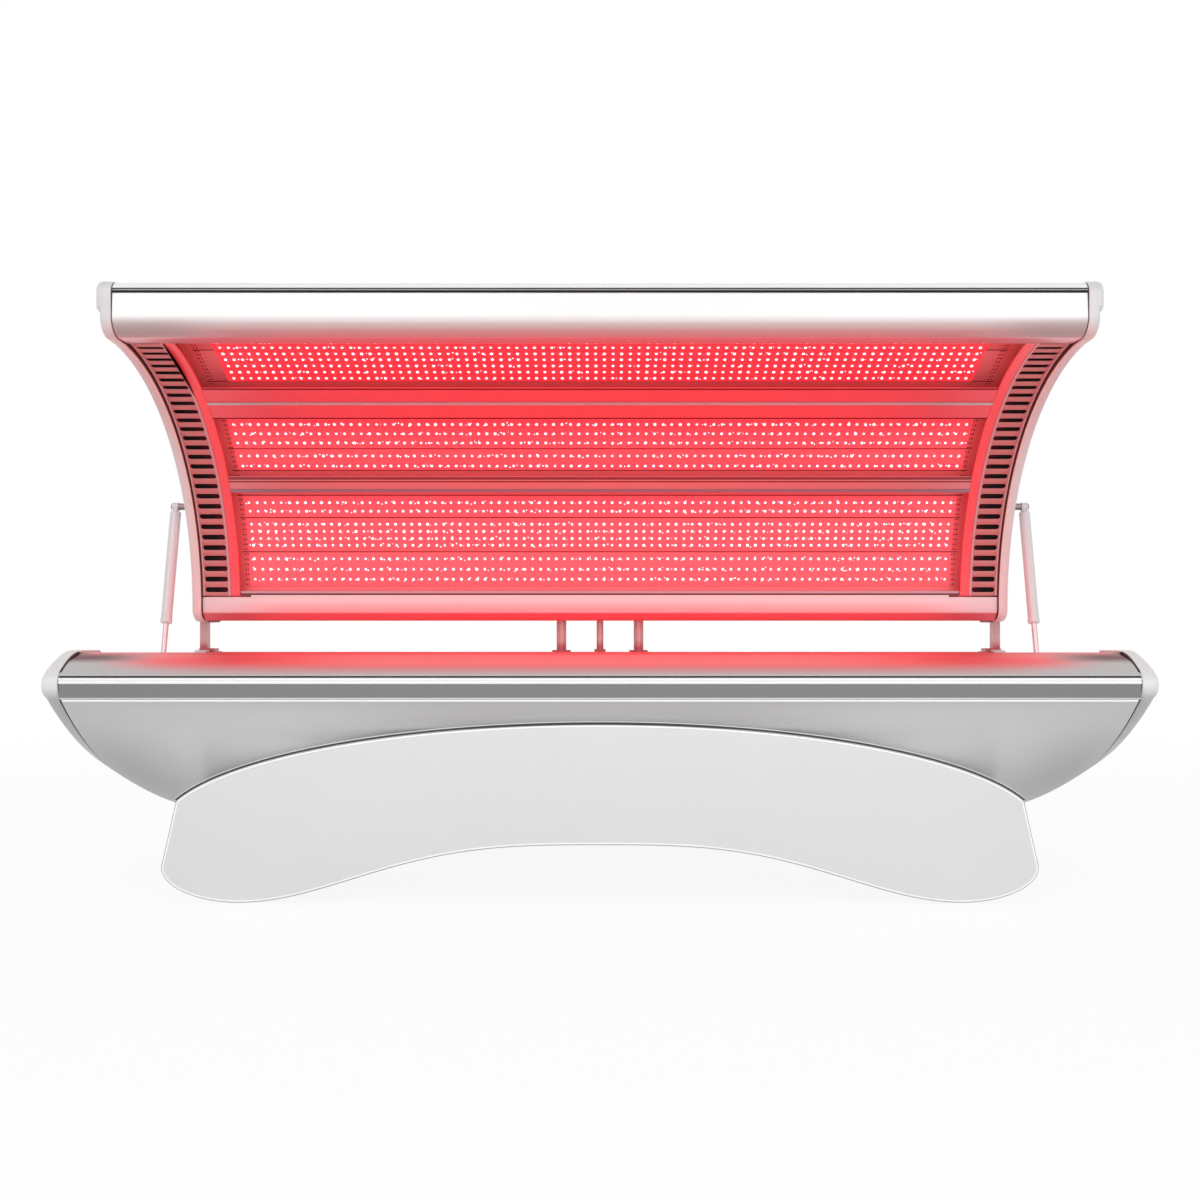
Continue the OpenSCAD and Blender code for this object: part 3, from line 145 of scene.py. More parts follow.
def round_edges(obj, width, segments=3, angle=38):
    """Rounds the sharp edges. The flat faces keep their flat shading."""
    shade(obj, 180)
    edge = obj.modifiers.new("rounded edges", "BEVEL")
    edge.width = width * MM
    edge.segments = segments
    edge.limit_method = "ANGLE"
    edge.angle_limit = math.radians(angle)
    edge.harden_normals = True
    edge.use_clamp_overlap = True


def prism(outline, x0, x1):
    """A solid with the outline, given in Y and Z, between two places along the bed."""
    n = len(outline)
    verts = [(x, p[0], p[1]) for x in (x0, x1) for p in outline]
    faces = [[i, (i + 1) % n, n + (i + 1) % n, n + i] for i in range(n)]
    return verts, faces + [list(range(n)), list(range(2 * n - 1, n - 1, -1))]


def end_prism(outline, side, near, far):
    """A solid with the outline at one end of the bed, between two distances from the middle."""
    return prism(outline, *sorted((side * near, side * far)))


def rectangle(y0, z0, y1, z1):
    return [Vector((y0, z0)), Vector((y1, z0)), Vector((y1, z1)), Vector((y0, z1))]


def rings(loops, closed_ends=True):
    """A skin through loops of points, all with the same number of points."""
    n = len(loops[0])
    verts = [v for loop in loops for v in loop]
    faces = [[k * n + i, k * n + (i + 1) % n, (k + 1) * n + (i + 1) % n, (k + 1) * n + i]
             for k in range(len(loops) - 1) for i in range(n)]
    if closed_ends:
        faces += [list(range(n)), list(range(len(verts) - 1, len(verts) - n - 1, -1))]
    return verts, faces


def cut(obj, cutters):
    """Takes the cutters out of a piece, and deletes them."""
    for i, cutter in enumerate(cutters):
        step = obj.modifiers.new("cut %d" % i, "BOOLEAN")
        step.operation = "DIFFERENCE"
        step.solver = "EXACT"
        step.object = cutter
    graph = bpy.context.evaluated_depsgraph_get()
    graph.update()
    mesh = bpy.data.meshes.new_from_object(obj.evaluated_get(graph))
    obj.modifiers.clear()
    old = obj.data
    obj.data = mesh
    bpy.data.meshes.remove(old)
    for cutter in cutters:
        bpy.data.objects.remove(cutter)


def ring(centre, side, other, radius, sides, shift=0.0):
    """A circle of points in the plane of two directions. The shift is a share of one step."""
    turns = [2 * math.pi * (i + shift) / sides for i in range(sides)]
    return [centre + radius * (side * math.cos(t) + other * math.sin(t)) for t in turns]


def turned(place, axis, profile, sides):
    """A turned solid: the profile gives (distance along the axis, radius) pairs."""
    axis = Vector(axis).normalized()
    side = axis.orthogonal().normalized()
    other = axis.cross(side)
    return rings([ring(Vector(place) + axis * along, side, other, radius, sides)
                  for along, radius in profile])


def round_cutter(place, axis, radius, length):
    """A cylinder along an axis, centred on a place."""
    return solid("cutter", *turned(place, axis, [(-length / 2, radius), (length / 2, radius)], 64))


def box_cutter(low, high):
    (x0, x1), (y0, y1), (z0, z1) = zip(low, high)
    return solid("cutter", *prism(rectangle(y0, z0, y1, z1), x0, x1))


def curved_plate(r0, r1, a0, a1, steps, centre=ARC):
    """The outline of a bent sheet, between two radii and two angles in degrees."""
    return arc(centre, r1, a0, a1, steps) + arc(centre, r0, a1, a0, steps)


# Materials

def rgb(red, green, blue):
    """A colour in steps of 0 to 255, as a linear colour."""
    return tuple(((c / 255 + 0.055) / 1.055) ** 2.4 if c > 10 else c / 255 / 12.92
                 for c in (red, green, blue))


def grey(level):
    return rgb(level, level, level)


def material(name, color, rough=0.4, metallic=0.0, variation=0.03, grain=40.0, stretch=(1, 1, 1), bump=0.02,
             rough_spread=0.06, alpha=None, coat=0.0, glow=None, glow_strength=0.0, specular=0.5):
    mat = bpy.data.materials.new(name)
    mat.use_nodes = True
    tree = mat.node_tree
    shader = tree.nodes["Principled BSDF"]
    shader.inputs["Metallic"].default_value = metallic
    shader.inputs["Specular IOR Level"].default_value = specular
    if coat:
        shader.inputs["Coat Weight"].default_value = coat
        shader.inputs["Coat Roughness"].default_value = 0.12
    if alpha is not None:
        shader.inputs["Alpha"].default_value = alpha
    if glow:
        shader.inputs["Emission Color"].default_value = (*glow, 1)
        shader.inputs["Emission Strength"].default_value = glow_strength
    where = tree.nodes.new("ShaderNodeTexCoord")
    scale = tree.nodes.new("ShaderNodeMapping")
    scale.inputs["Scale"].default_value = stretch
    tree.links.new(where.outputs["Object"], scale.inputs["Vector"])
    fine = noise(tree, scale, grain, 4)
    broad = noise(tree, scale, grain / 18, 2)
    darker = [c * (1 - variation) for c in color]
    lighter = [min(1, c * (1 + variation)) for c in color]
    tint = mix_color(tree, broad, darker, lighter)
    tree.links.new(tint, shader.inputs["Base Color"])
    spread = tree.nodes.new("ShaderNodeMapRange")
    spread.inputs["To Min"].default_value = max(0.02, rough - rough_spread)
    spread.inputs["To Max"].default_value = rough + rough_spread
    tree.links.new(fine.outputs[0], spread.inputs["Value"])
    tree.links.new(spread.outputs[0], shader.inputs["Roughness"])
    relief = tree.nodes.new("ShaderNodeBump")
    relief.inputs["Strength"].default_value = bump
    relief.inputs["Distance"].default_value = 0.0006
    tree.links.new(fine.outputs[0], relief.inputs["Height"])
    tree.links.new(relief.outputs[0], shader.inputs["Normal"])
    return mat


def noise(tree, vector, scale, detail):
    n = tree.nodes.new("ShaderNodeTexNoise")
    n.inputs["Scale"].default_value = scale
    n.inputs["Detail"].default_value = detail
    tree.links.new(vector.outputs[0], n.inputs["Vector"])
    return n


def mix_color(tree, factor, low, high):
    mix = tree.nodes.new("ShaderNodeMix")
    mix.data_type = "RGBA"
    mix.inputs[6].default_value = (*low, 1)
    mix.inputs[7].default_value = (*high, 1)
    tree.links.new(factor.outputs[0], mix.inputs[0])
    return mix.outputs[2]


def math_node(tree, operation, first, second):
    step = tree.nodes.new("ShaderNodeMath")
    step.operation = operation
    for slot, value in zip(step.inputs, (first, second)):
        if isinstance(value, (int, float)):
            slot.default_value = value
        else:
            tree.links.new(value, slot)
    return step.outputs[0]


def smooth_ramp(tree, value, low, high):
    ramp = tree.nodes.new("ShaderNodeMapRange")
    ramp.interpolation_type = "SMOOTHSTEP"
    ramp.inputs["From Min"].default_value = low
    ramp.inputs["From Max"].default_value = high
    tree.links.new(value, ramp.inputs["Value"])
    return ramp


def paint_light(slot, color, strength=1.0, **spans):
    """Paints light or shade into a material by place, x to both sides: none at the first of a pair, all of it
    at the second.
    """
    tree = MATS[slot].node_tree
    base = tree.nodes["Principled BSDF"].inputs["Base Color"]
    where = tree.nodes.new("ShaderNodeTexCoord")
    split = tree.nodes.new("ShaderNodeSeparateXYZ")
    tree.links.new(where.outputs["Object"], split.inputs[0])
    factor = None
    for axis, (none_at, all_at) in spans.items():
        place = split.outputs[axis.upper()]
        if axis == "x":
            place = math_node(tree, "ABSOLUTE", place, 0)
        ramp = smooth_ramp(tree, place, none_at * MM, all_at * MM)
        factor = ramp.outputs[0] if factor is None else math_node(tree, "MULTIPLY", factor, ramp.outputs[0])
    if strength < 1:
        factor = math_node(tree, "MULTIPLY", factor, strength)
    mix = tree.nodes.new("ShaderNodeMix")
    mix.data_type = "RGBA"
    tree.links.new(factor, mix.inputs[0])
    tree.links.new(base.links[0].from_socket, mix.inputs[6])
    mix.inputs[7].default_value = (*rgb(*color), 1)
    tree.links.new(mix.outputs[2], base)


ALONG = (0.06, 1, 1)
MATS = {
    "steel_black": material("powder coated steel", (0.05, 0.05, 0.055), 0.5, 0.2, 0.1, 260, bump=0.15),
    "white_panel": material("white lacquered panel", grey(222), 0.36, 0, 0.012, 120, bump=0.03, coat=0.1),
    "panel_edge": material("painted highlight along a panel's edge", grey(254), 0.3, 0, 0.01, 120, coat=0.2),
    "panel_shade_rim": material("painted shade on the panel's rounded edge", rgb(176, 177, 179), 0.36, 0, 0.01, 120, coat=0.1),
    "black_foot": material("black rubber", (0.02, 0.02, 0.02), 0.7, 0, 0.15, 180, bump=0.2),
    "silver_panel": material("silver lacquer", grey(200), 0.4, 0.1, 0.015, 300, coat=0.05),
    "rim_aluminium": material("satin anodised aluminium", rgb(190, 188, 188), 0.36, 0.3, 0.02, 160, ALONG,
                              0.06),
    "grey_band": material("grey band", grey(128), 0.45, 0, 0.03, 200, ALONG, 0.05, specular=0.3),
    # Near-white for the rim beads, partly a painted highlight; on the hull's lip it makes a line of painted
    # highlight only.
    "bright_bead": material("bright bead", (0.93, 0.93, 0.935), 0.18, 0, 0.01, 150, ALONG, 0.02, coat=0.4),
    "white_cap": material("white moulded cap", rgb(227, 226, 227), 0.34, 0, 0.015, 140, bump=0.03, coat=0.1),
    "white_cap_high": material("white moulded canopy cap", rgb(224, 212, 213), 0.3, 0, 0.015, 140, bump=0.03,
                               coat=0.15),
    "black_seal": material("black seal", (0.012, 0.012, 0.013), 0.6, 0, 0.1, 200, bump=0.1),
    "red_seal": material("seal in red light", rgb(62, 8, 12), 0.5, 0, 0.1, 200, bump=0.1),
    # The clear sheet's red tint is painted red light of the lamps.
    "clear_acrylic": material("clear acrylic", rgb(240, 90, 96), 0.08, 0, 0.01, 30, bump=0.01,
                              rough_spread=0.02, alpha=0.05, specular=0.3),
    "tray_aluminium": material("aluminium in red light", rgb(250, 128, 134), 0.4, 0.1, 0.04, 170, ALONG,
                               0.08),
    "lamp_board": material("lamp board", rgb(232, 44, 56), 0.4, 0, 0.22, 60, bump=0.05,
                           glow=(1.0, 0.045, 0.07), glow_strength=0.62),
    "driver_case": material("zinc plated case", (0.5, 0.5, 0.52), 0.35, 0.9, 0.06, 70, bump=0.05),
    "black_plastic": material("black moulding", (0.02, 0.02, 0.02), 0.42, 0, 0.1, 220, bump=0.12),
    "black_wire": material("black coated wire", (0.025, 0.025, 0.025), 0.4, 0, 0.1, 200, bump=0.1),
    "steel_plate": material("brushed steel plate", (0.55, 0.55, 0.56), 0.32, 1.0, 0.04, 220, (0.1, 1, 1),
                            0.1),
    "rocker_plastic": material("gloss black rocker", (0.02, 0.02, 0.02), 0.15, 0, 0.05, 100, bump=0.01,
                               coat=0.5),
    # The posts' pink is painted red light of the lamps on white steel.
    "post_steel": material("white coated steel", rgb(212, 172, 172), 0.28, 0.1, 0.02, 180, bump=0.03,
                           coat=0.2),
    "stud_steel": material("zinc plated steel", rgb(150, 130, 132), 0.3, 0.7, 0.05, 120, bump=0.04),
    "white_shell": material("white canopy shell", rgb(226, 226, 227), 0.3, 0, 0.012, 90, coat=0.2),
    "nose_aluminium": material("white lacquered nose", rgb(254, 253, 253), 0.24, 0.0, 0.01, 120, ALONG, 0.02,
                               coat=0.2),
    # The rail's pink tone is painted red light of the lamps.
    "rail_aluminium": material("pale lacquered rail", rgb(246, 214, 215), 0.34, 0.1, 0.02, 150, ALONG, 0.04),
    "rib_board": material("plywood rib", (0.42, 0.28, 0.17), 0.6, 0, 0.25, 45, (1, 1, 6), 0.2),
    # The red strip's faint glow is painted light.
    "red_strip": material("red strip", rgb(238, 78, 86), 0.3, 0, 0.1, 60, coat=0.1, glow=(1, 0.02, 0.04),
                          glow_strength=0.12),
    # The pink and red of the slotted band and its borders: painted red light of the lamps.
    "vent_panel": material("slotted band", rgb(206, 120, 119), 0.42, 0.1, 0.05, 110, (1, 1, 0.2), 0.04),
    "band_border": material("border of the slotted band", rgb(212, 152, 158), 0.36, 0.1, 0.03, 120,
                            bump=0.03),
    "outer_border": material("outer border of the band", rgb(234, 205, 208), 0.32, 0.1, 0.02, 120, bump=0.03),
    "cap_bead": material("painted highlight on the cap's edge", rgb(255, 205, 192), 0.3, 0, 0.02, 120),
    "strut_tube": material("white strut tube", rgb(226, 219, 221), 0.24, 0, 0.01, 120, bump=0.01, coat=0.3),
    # The rod's pink tint is a painted reflection of the red interior.
    "strut_rod": material("bright rod", rgb(222, 200, 203), 0.22, 0.4, 0.02, 200, bump=0.01,
                          rough_spread=0.03),
    "lamp": material("lit lamp", (1.0, 0.7, 0.72), 0.3, 0, 0.02, 90, bump=0, glow=(1.0, 0.78, 0.8),
                     glow_strength=1.9),
    # Discs round the lamps glow: painted light on the board.
    "halo": material("painted glow round a lamp", rgb(255, 96, 106), 0.4, 0, 0.1, 120, glow=(1.0, 0.15, 0.18),
                     glow_strength=0.75),
    # Dark and grey strips laid in grooves and gaps: painted shade.
    "dark_gap": material("dark gap", (0.02, 0.018, 0.018), 0.7, 0, 0.1, 90, bump=0.05, specular=0.2),
    "grey_gap": material("grey gap", rgb(74, 72, 74), 0.6, 0, 0.06, 90, bump=0.05, specular=0.2),
    "vent_filter": material("painted shade behind the slots", (0.012, 0.01, 0.01), 0.9, 0, 0.2, 300, bump=0.3, specular=0.1),
    # The cross rails' colours are painted light: a strip of painted shade in the recess, and plates and beads
    # in two colours of the lamps' light.
    "rail_shade": material("painted shade in the cross rail's recess", rgb(150, 62, 70), 0.5, 0.1, 0.05, 120, ALONG, 0.04),
    "seam": material("joint of the trays", rgb(120, 22, 30), 0.6, 0, 0.1, 90, bump=0.05, specular=0.2),
    "plate_low": material("lower cross rail", rgb(226, 138, 140), 0.36, 0.2, 0.04, 120, ALONG, 0.04),
    "plate_high": material("upper cross rail", rgb(244, 98, 108), 0.36, 0.2, 0.04, 120, ALONG, 0.04),
    "bead_low": material("lower cross bead", rgb(160, 126, 140), 0.3, 0.3, 0.03, 120, ALONG, 0.04),
    "bead_high": material("upper cross bead", rgb(200, 186, 188), 0.28, 0.3, 0.03, 120, ALONG, 0.04),
    # The sheet channel's colours are painted light: red light on the top, shade in the groove, a highlight on
    # the lip.
    "channel_lilac": material("sheet channel", rgb(196, 150, 162), 0.34, 0.2, 0.03, 120, ALONG, 0.04),
    "channel_brown": material("painted shade in the channel's groove", rgb(126, 44, 48), 0.5, 0, 0.05, 120, ALONG, 0.04),
    "channel_cream": material("painted highlight on the channel's lip", rgb(244, 224, 220), 0.3, 0.1, 0.02, 120, ALONG, 0.03),
}
for name in ("lamp", "halo"):
    MATS[name].cycles.emission_sampling = "NONE"

# Painted light and shade: the red light of the lamps, the soft falloff of the light towards the ends and
# undersides, painted highlights and lines of painted shade
paint_light("silver_panel", (238, 238, 238), z=(420, 270), x=(1040, 640))
# Painted light: the shell is lightened low down, above the skirts.
paint_light("silver_panel", (254, 254, 254), z=(345, 290), x=(820, 600))
paint_light("silver_panel", (166, 166, 166), z=(380, 230), x=(820, 1050))
paint_light("silver_panel", (190, 189, 189), z=(340, 372), x=(640, 200))
paint_light("white_cap", (182, 181, 181), z=(440, 400))
paint_light("white_cap_high", (238, 206, 206), z=(1000, 640))
paint_light("white_cap_high", (220, 192, 191), z=(960, 1150))
paint_light("white_cap_high", (218, 216, 217), z=(1190, 1240))
paint_light("rim_aluminium", (206, 162, 163), z=(456, 468), x=(980, 760))
paint_light("rim_aluminium", (254, 100, 104), z=(464, 487), x=(1040, 850))
paint_light("rim_aluminium", (253, 164, 164), 0.75, z=(470, 486), x=(760, 420))
paint_light("rim_aluminium", (104, 34, 40), z=(480, 493), x=(880, 1020))
paint_light("rim_aluminium", (236, 66, 70), 0.85, z=(496, 501.5), x=(1062, 1030))
paint_light("nose_aluminium", (206, 186, 184), z=(1242, 1216))
paint_light("nose_aluminium", (206, 158, 159), z=(1220, 1204))
paint_light("nose_aluminium", (170, 152, 152), 0.85, z=(1238, 1206), x=(820, 980))
paint_light("nose_aluminium", (222, 152, 160), z=(1199, 1197.4))
# Painted shade along the two grooves at the top of the nose.
paint_light("nose_aluminium", (196, 196, 198), z=(1289.6, 1290.6))
paint_light("nose_aluminium", (246, 246, 246), z=(1297.4, 1298.4))
paint_light("rail_aluminium", (252, 170, 174), z=(645, 616))
# A painted highlight line along the lower rounding of the rail.
paint_light("rail_aluminium", (240, 176, 182), 0.8, z=(612.6, 611.8))
paint_light("rail_aluminium", (226, 104, 112), z=(608, 606))
paint_light("rail_aluminium", (234, 208, 210), 0.75, z=(606, 614), x=(820, 1030))
paint_light("post_steel", (170, 112, 114), z=(575, 605))
paint_light("post_steel", (196, 84, 90), z=(540, 512))
paint_light("lamp_board", (246, 104, 114), z=(1130, 1020))
paint_light("lamp_board", (244, 108, 114), z=(960, 800))
# Painted red reflection on the dark sheet behind the slots, towards the middle.
paint_light("vent_filter", (96, 22, 30), 0.8, x=(1024, 1000))


def dress(obj, mat):
    obj.data.materials.clear()
    obj.data.materials.append(mat)
    shade(obj, 30)


for part in frame["record"]["subparts"]:
    dress(nodes[part["node"]], MATS[part["material_slot"]])
dress(nodes["canopy_end_seals"], MATS["red_seal"])


# Rims, with the bead and its painted highlight, a strip of painted shade in the groove over it, and a painted
# highlight line on the hull's lip under it

LIP_X = 1058


def rim_outline():
    line_low, line_high, line_deep = BEAD_Z + 6.3, BEAD_Z + 9.9, 3
    shoulder = arc((SHOULDER_Y, RIM_TOP - RIM_R), RIM_R,
                   math.degrees(math.acos((FACE_Y - SHOULDER_Y) / RIM_R)), 90, 30)
    points = [(SEAT_Y, RIM_FOOT), (FACE_Y, RIM_FOOT), (FACE_Y, BAND_Z), (FACE_Y - BAND_T, BAND_Z),
              (FACE_Y - BAND_T, BAND_Z + BAND_H), (FACE_Y, BAND_Z + BAND_H), (FACE_Y, line_low),
              (FACE_Y - line_deep, line_low), (FACE_Y - line_deep, line_high), (FACE_Y, line_high)]
    return [Vector(p) for p in points] + shoulder + [Vector((SEAT_Y, RIM_TOP))]


def mirrored(outline):
    return [Vector((-p[0], p[1])) for p in outline]


def bead_outline():
    """Two rounded lines with a fine groove between them."""
    low = arc((FACE_Y - 1, BEAD_Z - 2.9), 3.4, -80, 80, 8)
    high = arc((FACE_Y - 1.2, BEAD_Z + 3.0), 3.2, -80, 80, 8)
    back = FACE_Y - 0.4
    return [Vector((back, BEAD_Z - 6.2))] + low + high + [Vector((back, BEAD_Z + 6.2))]


def along_both(name, outline, reach, mat, replaced=()):
    """The same section along the front and the rear of the bench."""
    for side, end in ((1, "rear"), (-1, "front")):
        shape = outline if side > 0 else mirrored(outline)
        piece("%s_%s" % (name, end), *prism(shape, -reach, reach), "bench", mat, replaced, 60)


def rims():
    for name, side in (("rear_rim", 1), ("front_rim", -1)):
        shape = rim_outline() if side > 0 else mirrored(rim_outline())
        piece(name + "_cover", *prism(shape, -RUN_X, RUN_X), "bench", "rim_aluminium", [name], 32)
    along_both("bead", bead_outline(), RUN_X, "bright_bead", ["trim_beads"])
    # A dark strip in the groove over the bead: painted shade.
    line = rectangle(FACE_Y - 2.9, BEAD_Z + 6.4, FACE_Y - 0.7, BEAD_Z + 9.8)
    along_both("rim_groove_shade", line, RUN_X, "dark_gap")
    # A bright tube along the hull's top edge: a painted highlight line.
    along_both("hull_highlight_line", arc((NOSE_Y - 5.6, RIM_FOOT - 2.7), 2.6, 0, 345, 23), LIP_X, "bright_bead")


rims()


# Bench shell

BELLY_LOW = 128
BELLY_FLAT_X = 902
BELLY_RISE = 95
BELLY_HALF_W = 543
BELLY_WALL = 5
FAN_HOLE_R = 56
FAN_HOLE_LENGTH = 60
BENCH_FAN_X = 540


def belly_z(x):
    rise = max(0, (abs(x) - BELLY_FLAT_X) / (HALF - BELLY_FLAT_X))
    return BELLY_LOW + BELLY_RISE * rise * rise


def hull_loop(x, half_w, lift=0.0):
    """A section of the shell: along the outer arc, and back along the inner one."""
    steps = 96
    z0 = belly_z(x) + lift
    r = (half_w ** 2 + (RIM_FOOT - z0) ** 2) / (2 * (RIM_FOOT - z0))
    c = z0 + r
    inner = r - BELLY_WALL
    a_out = math.asin(half_w / r)
    a_in = math.acos(min(1, (c - RIM_FOOT) / inner))
    outer_pts = [(x, r * math.sin(a), c - r * math.cos(a))
                 for a in (-a_out + 2 * a_out * i / steps for i in range(steps + 1))]
    inner_pts = [(x, inner * math.sin(a), c - inner * math.cos(a))
                 for a in (a_in - 2 * a_in * i / steps for i in range(steps + 1))]
    return outer_pts + inner_pts


def bench_hull():
    end = RUN_X - 1.5
    xs = [0, 300, 600, 850, BELLY_FLAT_X]
    xs += [BELLY_FLAT_X + (end - BELLY_FLAT_X) * i / 14 for i in range(1, 15)]
    xs = [-x for x in reversed(xs[1:])] + xs
    hull = piece("bench_shell_cover", *rings([hull_loop(x, BELLY_HALF_W) for x in xs]), "bench",
                 "silver_panel", ["bench_hull"])
    cut(hull, [round_cutter((s * BENCH_FAN_X, 0, BELLY_LOW), (0, 0, 1), FAN_HOLE_R, FAN_HOLE_LENGTH)
               for s in (-1, 1)])
    round_edges(hull, 1.6, 3, 45)


bench_hull()


# Bench end caps

NOSE_R = 28
NOSE_C = Vector((NOSE_Y - NOSE_R, BENCH_H - 69.6))
CAP_SHOULDER_R = 151
CAP_LIP = NOSE_Y - 20
SHOULDER_FROM = 430.2
SEAT_R = 464.9
SEAT_Z = 817.9


def cap_top(t):
    """The top of a cap at a distance from the middle: the dish, the flat, the shoulder, the nose."""
    if t < SEAT_Y:
        dish = SEAT_Z + 3 - math.sqrt(SEAT_R ** 2 - min(t, SEAT_Y - 1) ** 2)
        return dish + 2 * (t / SEAT_Y) ** 8
    joined = SHOULDER_FROM + CAP_SHOULDER_R * (NOSE_C[0] - SHOULDER_FROM) / (CAP_SHOULDER_R - NOSE_R)
    if t < SHOULDER_FROM:
        return BENCH_H
    if t < joined:
        return BENCH_H - CAP_SHOULDER_R + math.sqrt(CAP_SHOULDER_R ** 2 - (t - SHOULDER_FROM) ** 2)
    return NOSE_C[1] + math.sqrt(max(0, NOSE_R ** 2 - (t - NOSE_C[0]) ** 2))


def cap_low(t, z0):
    if t > CAP_LIP:
        return NOSE_C[1] - math.sqrt(max(0, NOSE_R ** 2 - (t - NOSE_C[0]) ** 2))
    lip_z = NOSE_C[1] - math.sqrt(NOSE_R ** 2 - (CAP_LIP - NOSE_C[0]) ** 2) + 0.5
    r = (CAP_LIP ** 2 + (lip_z - z0) ** 2) / (2 * (lip_z - z0))
    return z0 + r - math.sqrt(r * r - t * t)


def cap_outline(z0, chamfer):
    """The stations run from the nose to the middle. The chamfer lowers the shoulder by so much."""
    nose = [NOSE_C[0] + NOSE_R * math.sin(math.radians(a)) for a in range(86, -1, -7)]
    ts = nose + [NOSE_C[0] - d for d in (8, 18, 30, 44, 58, 74, 91.8)] + [420, 400, 380, 360, SEAT_Y]
    ts += [SEAT_Y * (1 - i / 16) for i in range(1, 16)]
    ys = [-t for t in ts] + [0] + list(reversed(ts))

    def flat(t):
        return chamfer * math.sin(math.pi * min(1, max(0, (t - 440) / 104)))
    top = [Vector((y, cap_top(abs(y)) - flat(abs(y)))) for y in ys]
    low = [Vector((y, cap_low(abs(y), z0))) for y in reversed(ys)]
    return [Vector((-NOSE_Y, NOSE_C[1]))] + top + [Vector((NOSE_Y, NOSE_C[1]))] + low


def bench_caps():
    low_in = belly_z(CAP_X) - 3
    low_out = BENCH_H - 290
    rounding = [(0, 2.2), (0.02, 0.9), (0.05, 0.25), (0.1, 0), (0.35, 0), (0.65, 0), (0.78, 0.35),
                (0.87, 1.1), (0.93, 2.2), (0.97, 3.5), (1, 5.4)]
    for side, name in ENDS:
        loops = []
        for along, draw in rounding:
            x = side * (CAP_X + (HALF - CAP_X) * along)
            loop = inset(cap_outline(low_in + (low_out - low_in) * along, 7 * along), draw)
            loops.append([(x, p[0], p[1]) for p in loop])
        piece("bench_cap_cover_" + name, *rings(loops), "bench", "white_cap", ["bench_cap_" + name], 50)
        hull_end = [hull_loop(x, 542.4, 0.8) for x in (RUN_X - 1.4, CAP_X - 0.1)]
        seal = [[(side * x, y, z) for x, y, z in loop] for loop in hull_end]
        piece("hull_end_seal_" + name, *rings(seal), "bench", "black_seal", (), 50)
        for end, place in ((1, "rear"), (-1, "front")):
            ts = [458 + 10.25 * i for i in range(9)]
            rim = [RIM_TOP - RIM_R + math.sqrt(RIM_R ** 2 - (t - SHOULDER_Y) ** 2) for t in ts]
            upper = [Vector((end * t, max(cap_top(t) - 0.9, z + 0.4))) for t, z in zip(ts, rim)]
            lower = [Vector((end * t, z - 3)) for t, z in reversed(list(zip(ts, rim)))]
            strip = end_prism(upper + lower, side, CAP_X - 4.6, CAP_X - 0.05)
            piece("shoulder_seal_%s_%s" % (name, place), *strip, "bench", "black_seal", (), 50)


bench_caps()


# Pedestal skirts

SKIRT_Y = 512
SKIRT_IN = 494
SKIRT_TOE_X = 721
SKIRT_SIDE_X = 877
SKIRT_TOP_X = 847
FLOOR_GAP = 3
SKIRT_XS = [SKIRT_TOP_X * math.cos(math.pi * i / 80) for i in range(81)]
TOE_R = 71
ARCH_H = 115
ARCH_POWER = 1.54
OVAL_X = 880
OVAL_Z = 150
OVAL_H = 210
GAP_R = BELLY_R + 0.6
SEAM = 0.3
SHELF_T = 4
INLET_LOW = (554, 480, 119)
INLET_HIGH = (646, 520, 181)


def skirt_top(x):
    return OVAL_Z + OVAL_H * math.sqrt(max(0, 1 - (x / OVAL_X) ** 2))


def hull_gap_z(y):
    return BELLY_Z - math.sqrt(GAP_R ** 2 - y * y)


def skirt_outline(ceiling):
    toe = [(-SKIRT_TOE_X + (SKIRT_SIDE_X - SKIRT_TOE_X) * math.cos(a), FLOOR_GAP + TOE_R + TOE_R * math.sin(a))
           for a in (math.pi * (1 + i / 28) for i in range(15))]
    xs = [-SKIRT_TOE_X + 2 * SKIRT_TOE_X * i / 56 for i in range(1, 56)]
    arch = [(x, FLOOR_GAP + ARCH_H * math.cos(math.pi / 2 * (abs(x) / SKIRT_TOE_X) ** ARCH_POWER) ** 2)
            for x in xs]
    top = [(x, min(ceiling, skirt_top(x))) for x in SKIRT_XS]
    return toe + arch + [(-x, z) for x, z in reversed(toe)] + top


def skirt_ribbon(name, side, near, far, y0, y1, mat):
    """A ribbon that follows the top of a skirt, between two distances outside it."""
    loops = []
    for i in range(97):
        t = math.pi * i / 96
        x = SKIRT_TOP_X * math.cos(t)
        here = Vector((x, skirt_top(x)))
        ahead = Vector((x - 0.5, skirt_top(x - 0.5))) if x > -SKIRT_TOP_X + 1 else here
        behind = Vector((x + 0.5, skirt_top(x + 0.5))) if x < SKIRT_TOP_X - 1 else here
        run = (ahead - behind).normalized()
        out = Vector((run[1], -run[0]))
        out = out if out[1] > 0 else -out
        loops.append([(here[0] + out[0] * d, side * y, here[1] + out[1] * d)
                      for d, y in ((near, y0), (far, y0), (far, y1), (near, y1))])
    piece(name, *rings(loops), "bench", mat, (), 50)


def skirt_edge_highlight(name, side, outline):
    """A thin line of painted highlight on the face of a skirt, just inside its rounded edge."""
    points = [Vector(p) for p in outline]
    back, face = side * (SKIRT_Y - 0.6), side * (SKIRT_Y + 0.25)
    loops = [[(a[0], back, a[1]), (b[0], back, b[1]), (b[0], face, b[1]), (a[0], face, a[1])]
             for a, b in zip(inset(points, 2.4), inset(points, 5.4))]
    piece(name + "_skirt_edge_highlight", *rings(loops + loops[:1], False), "bench", "panel_edge", (), 50)


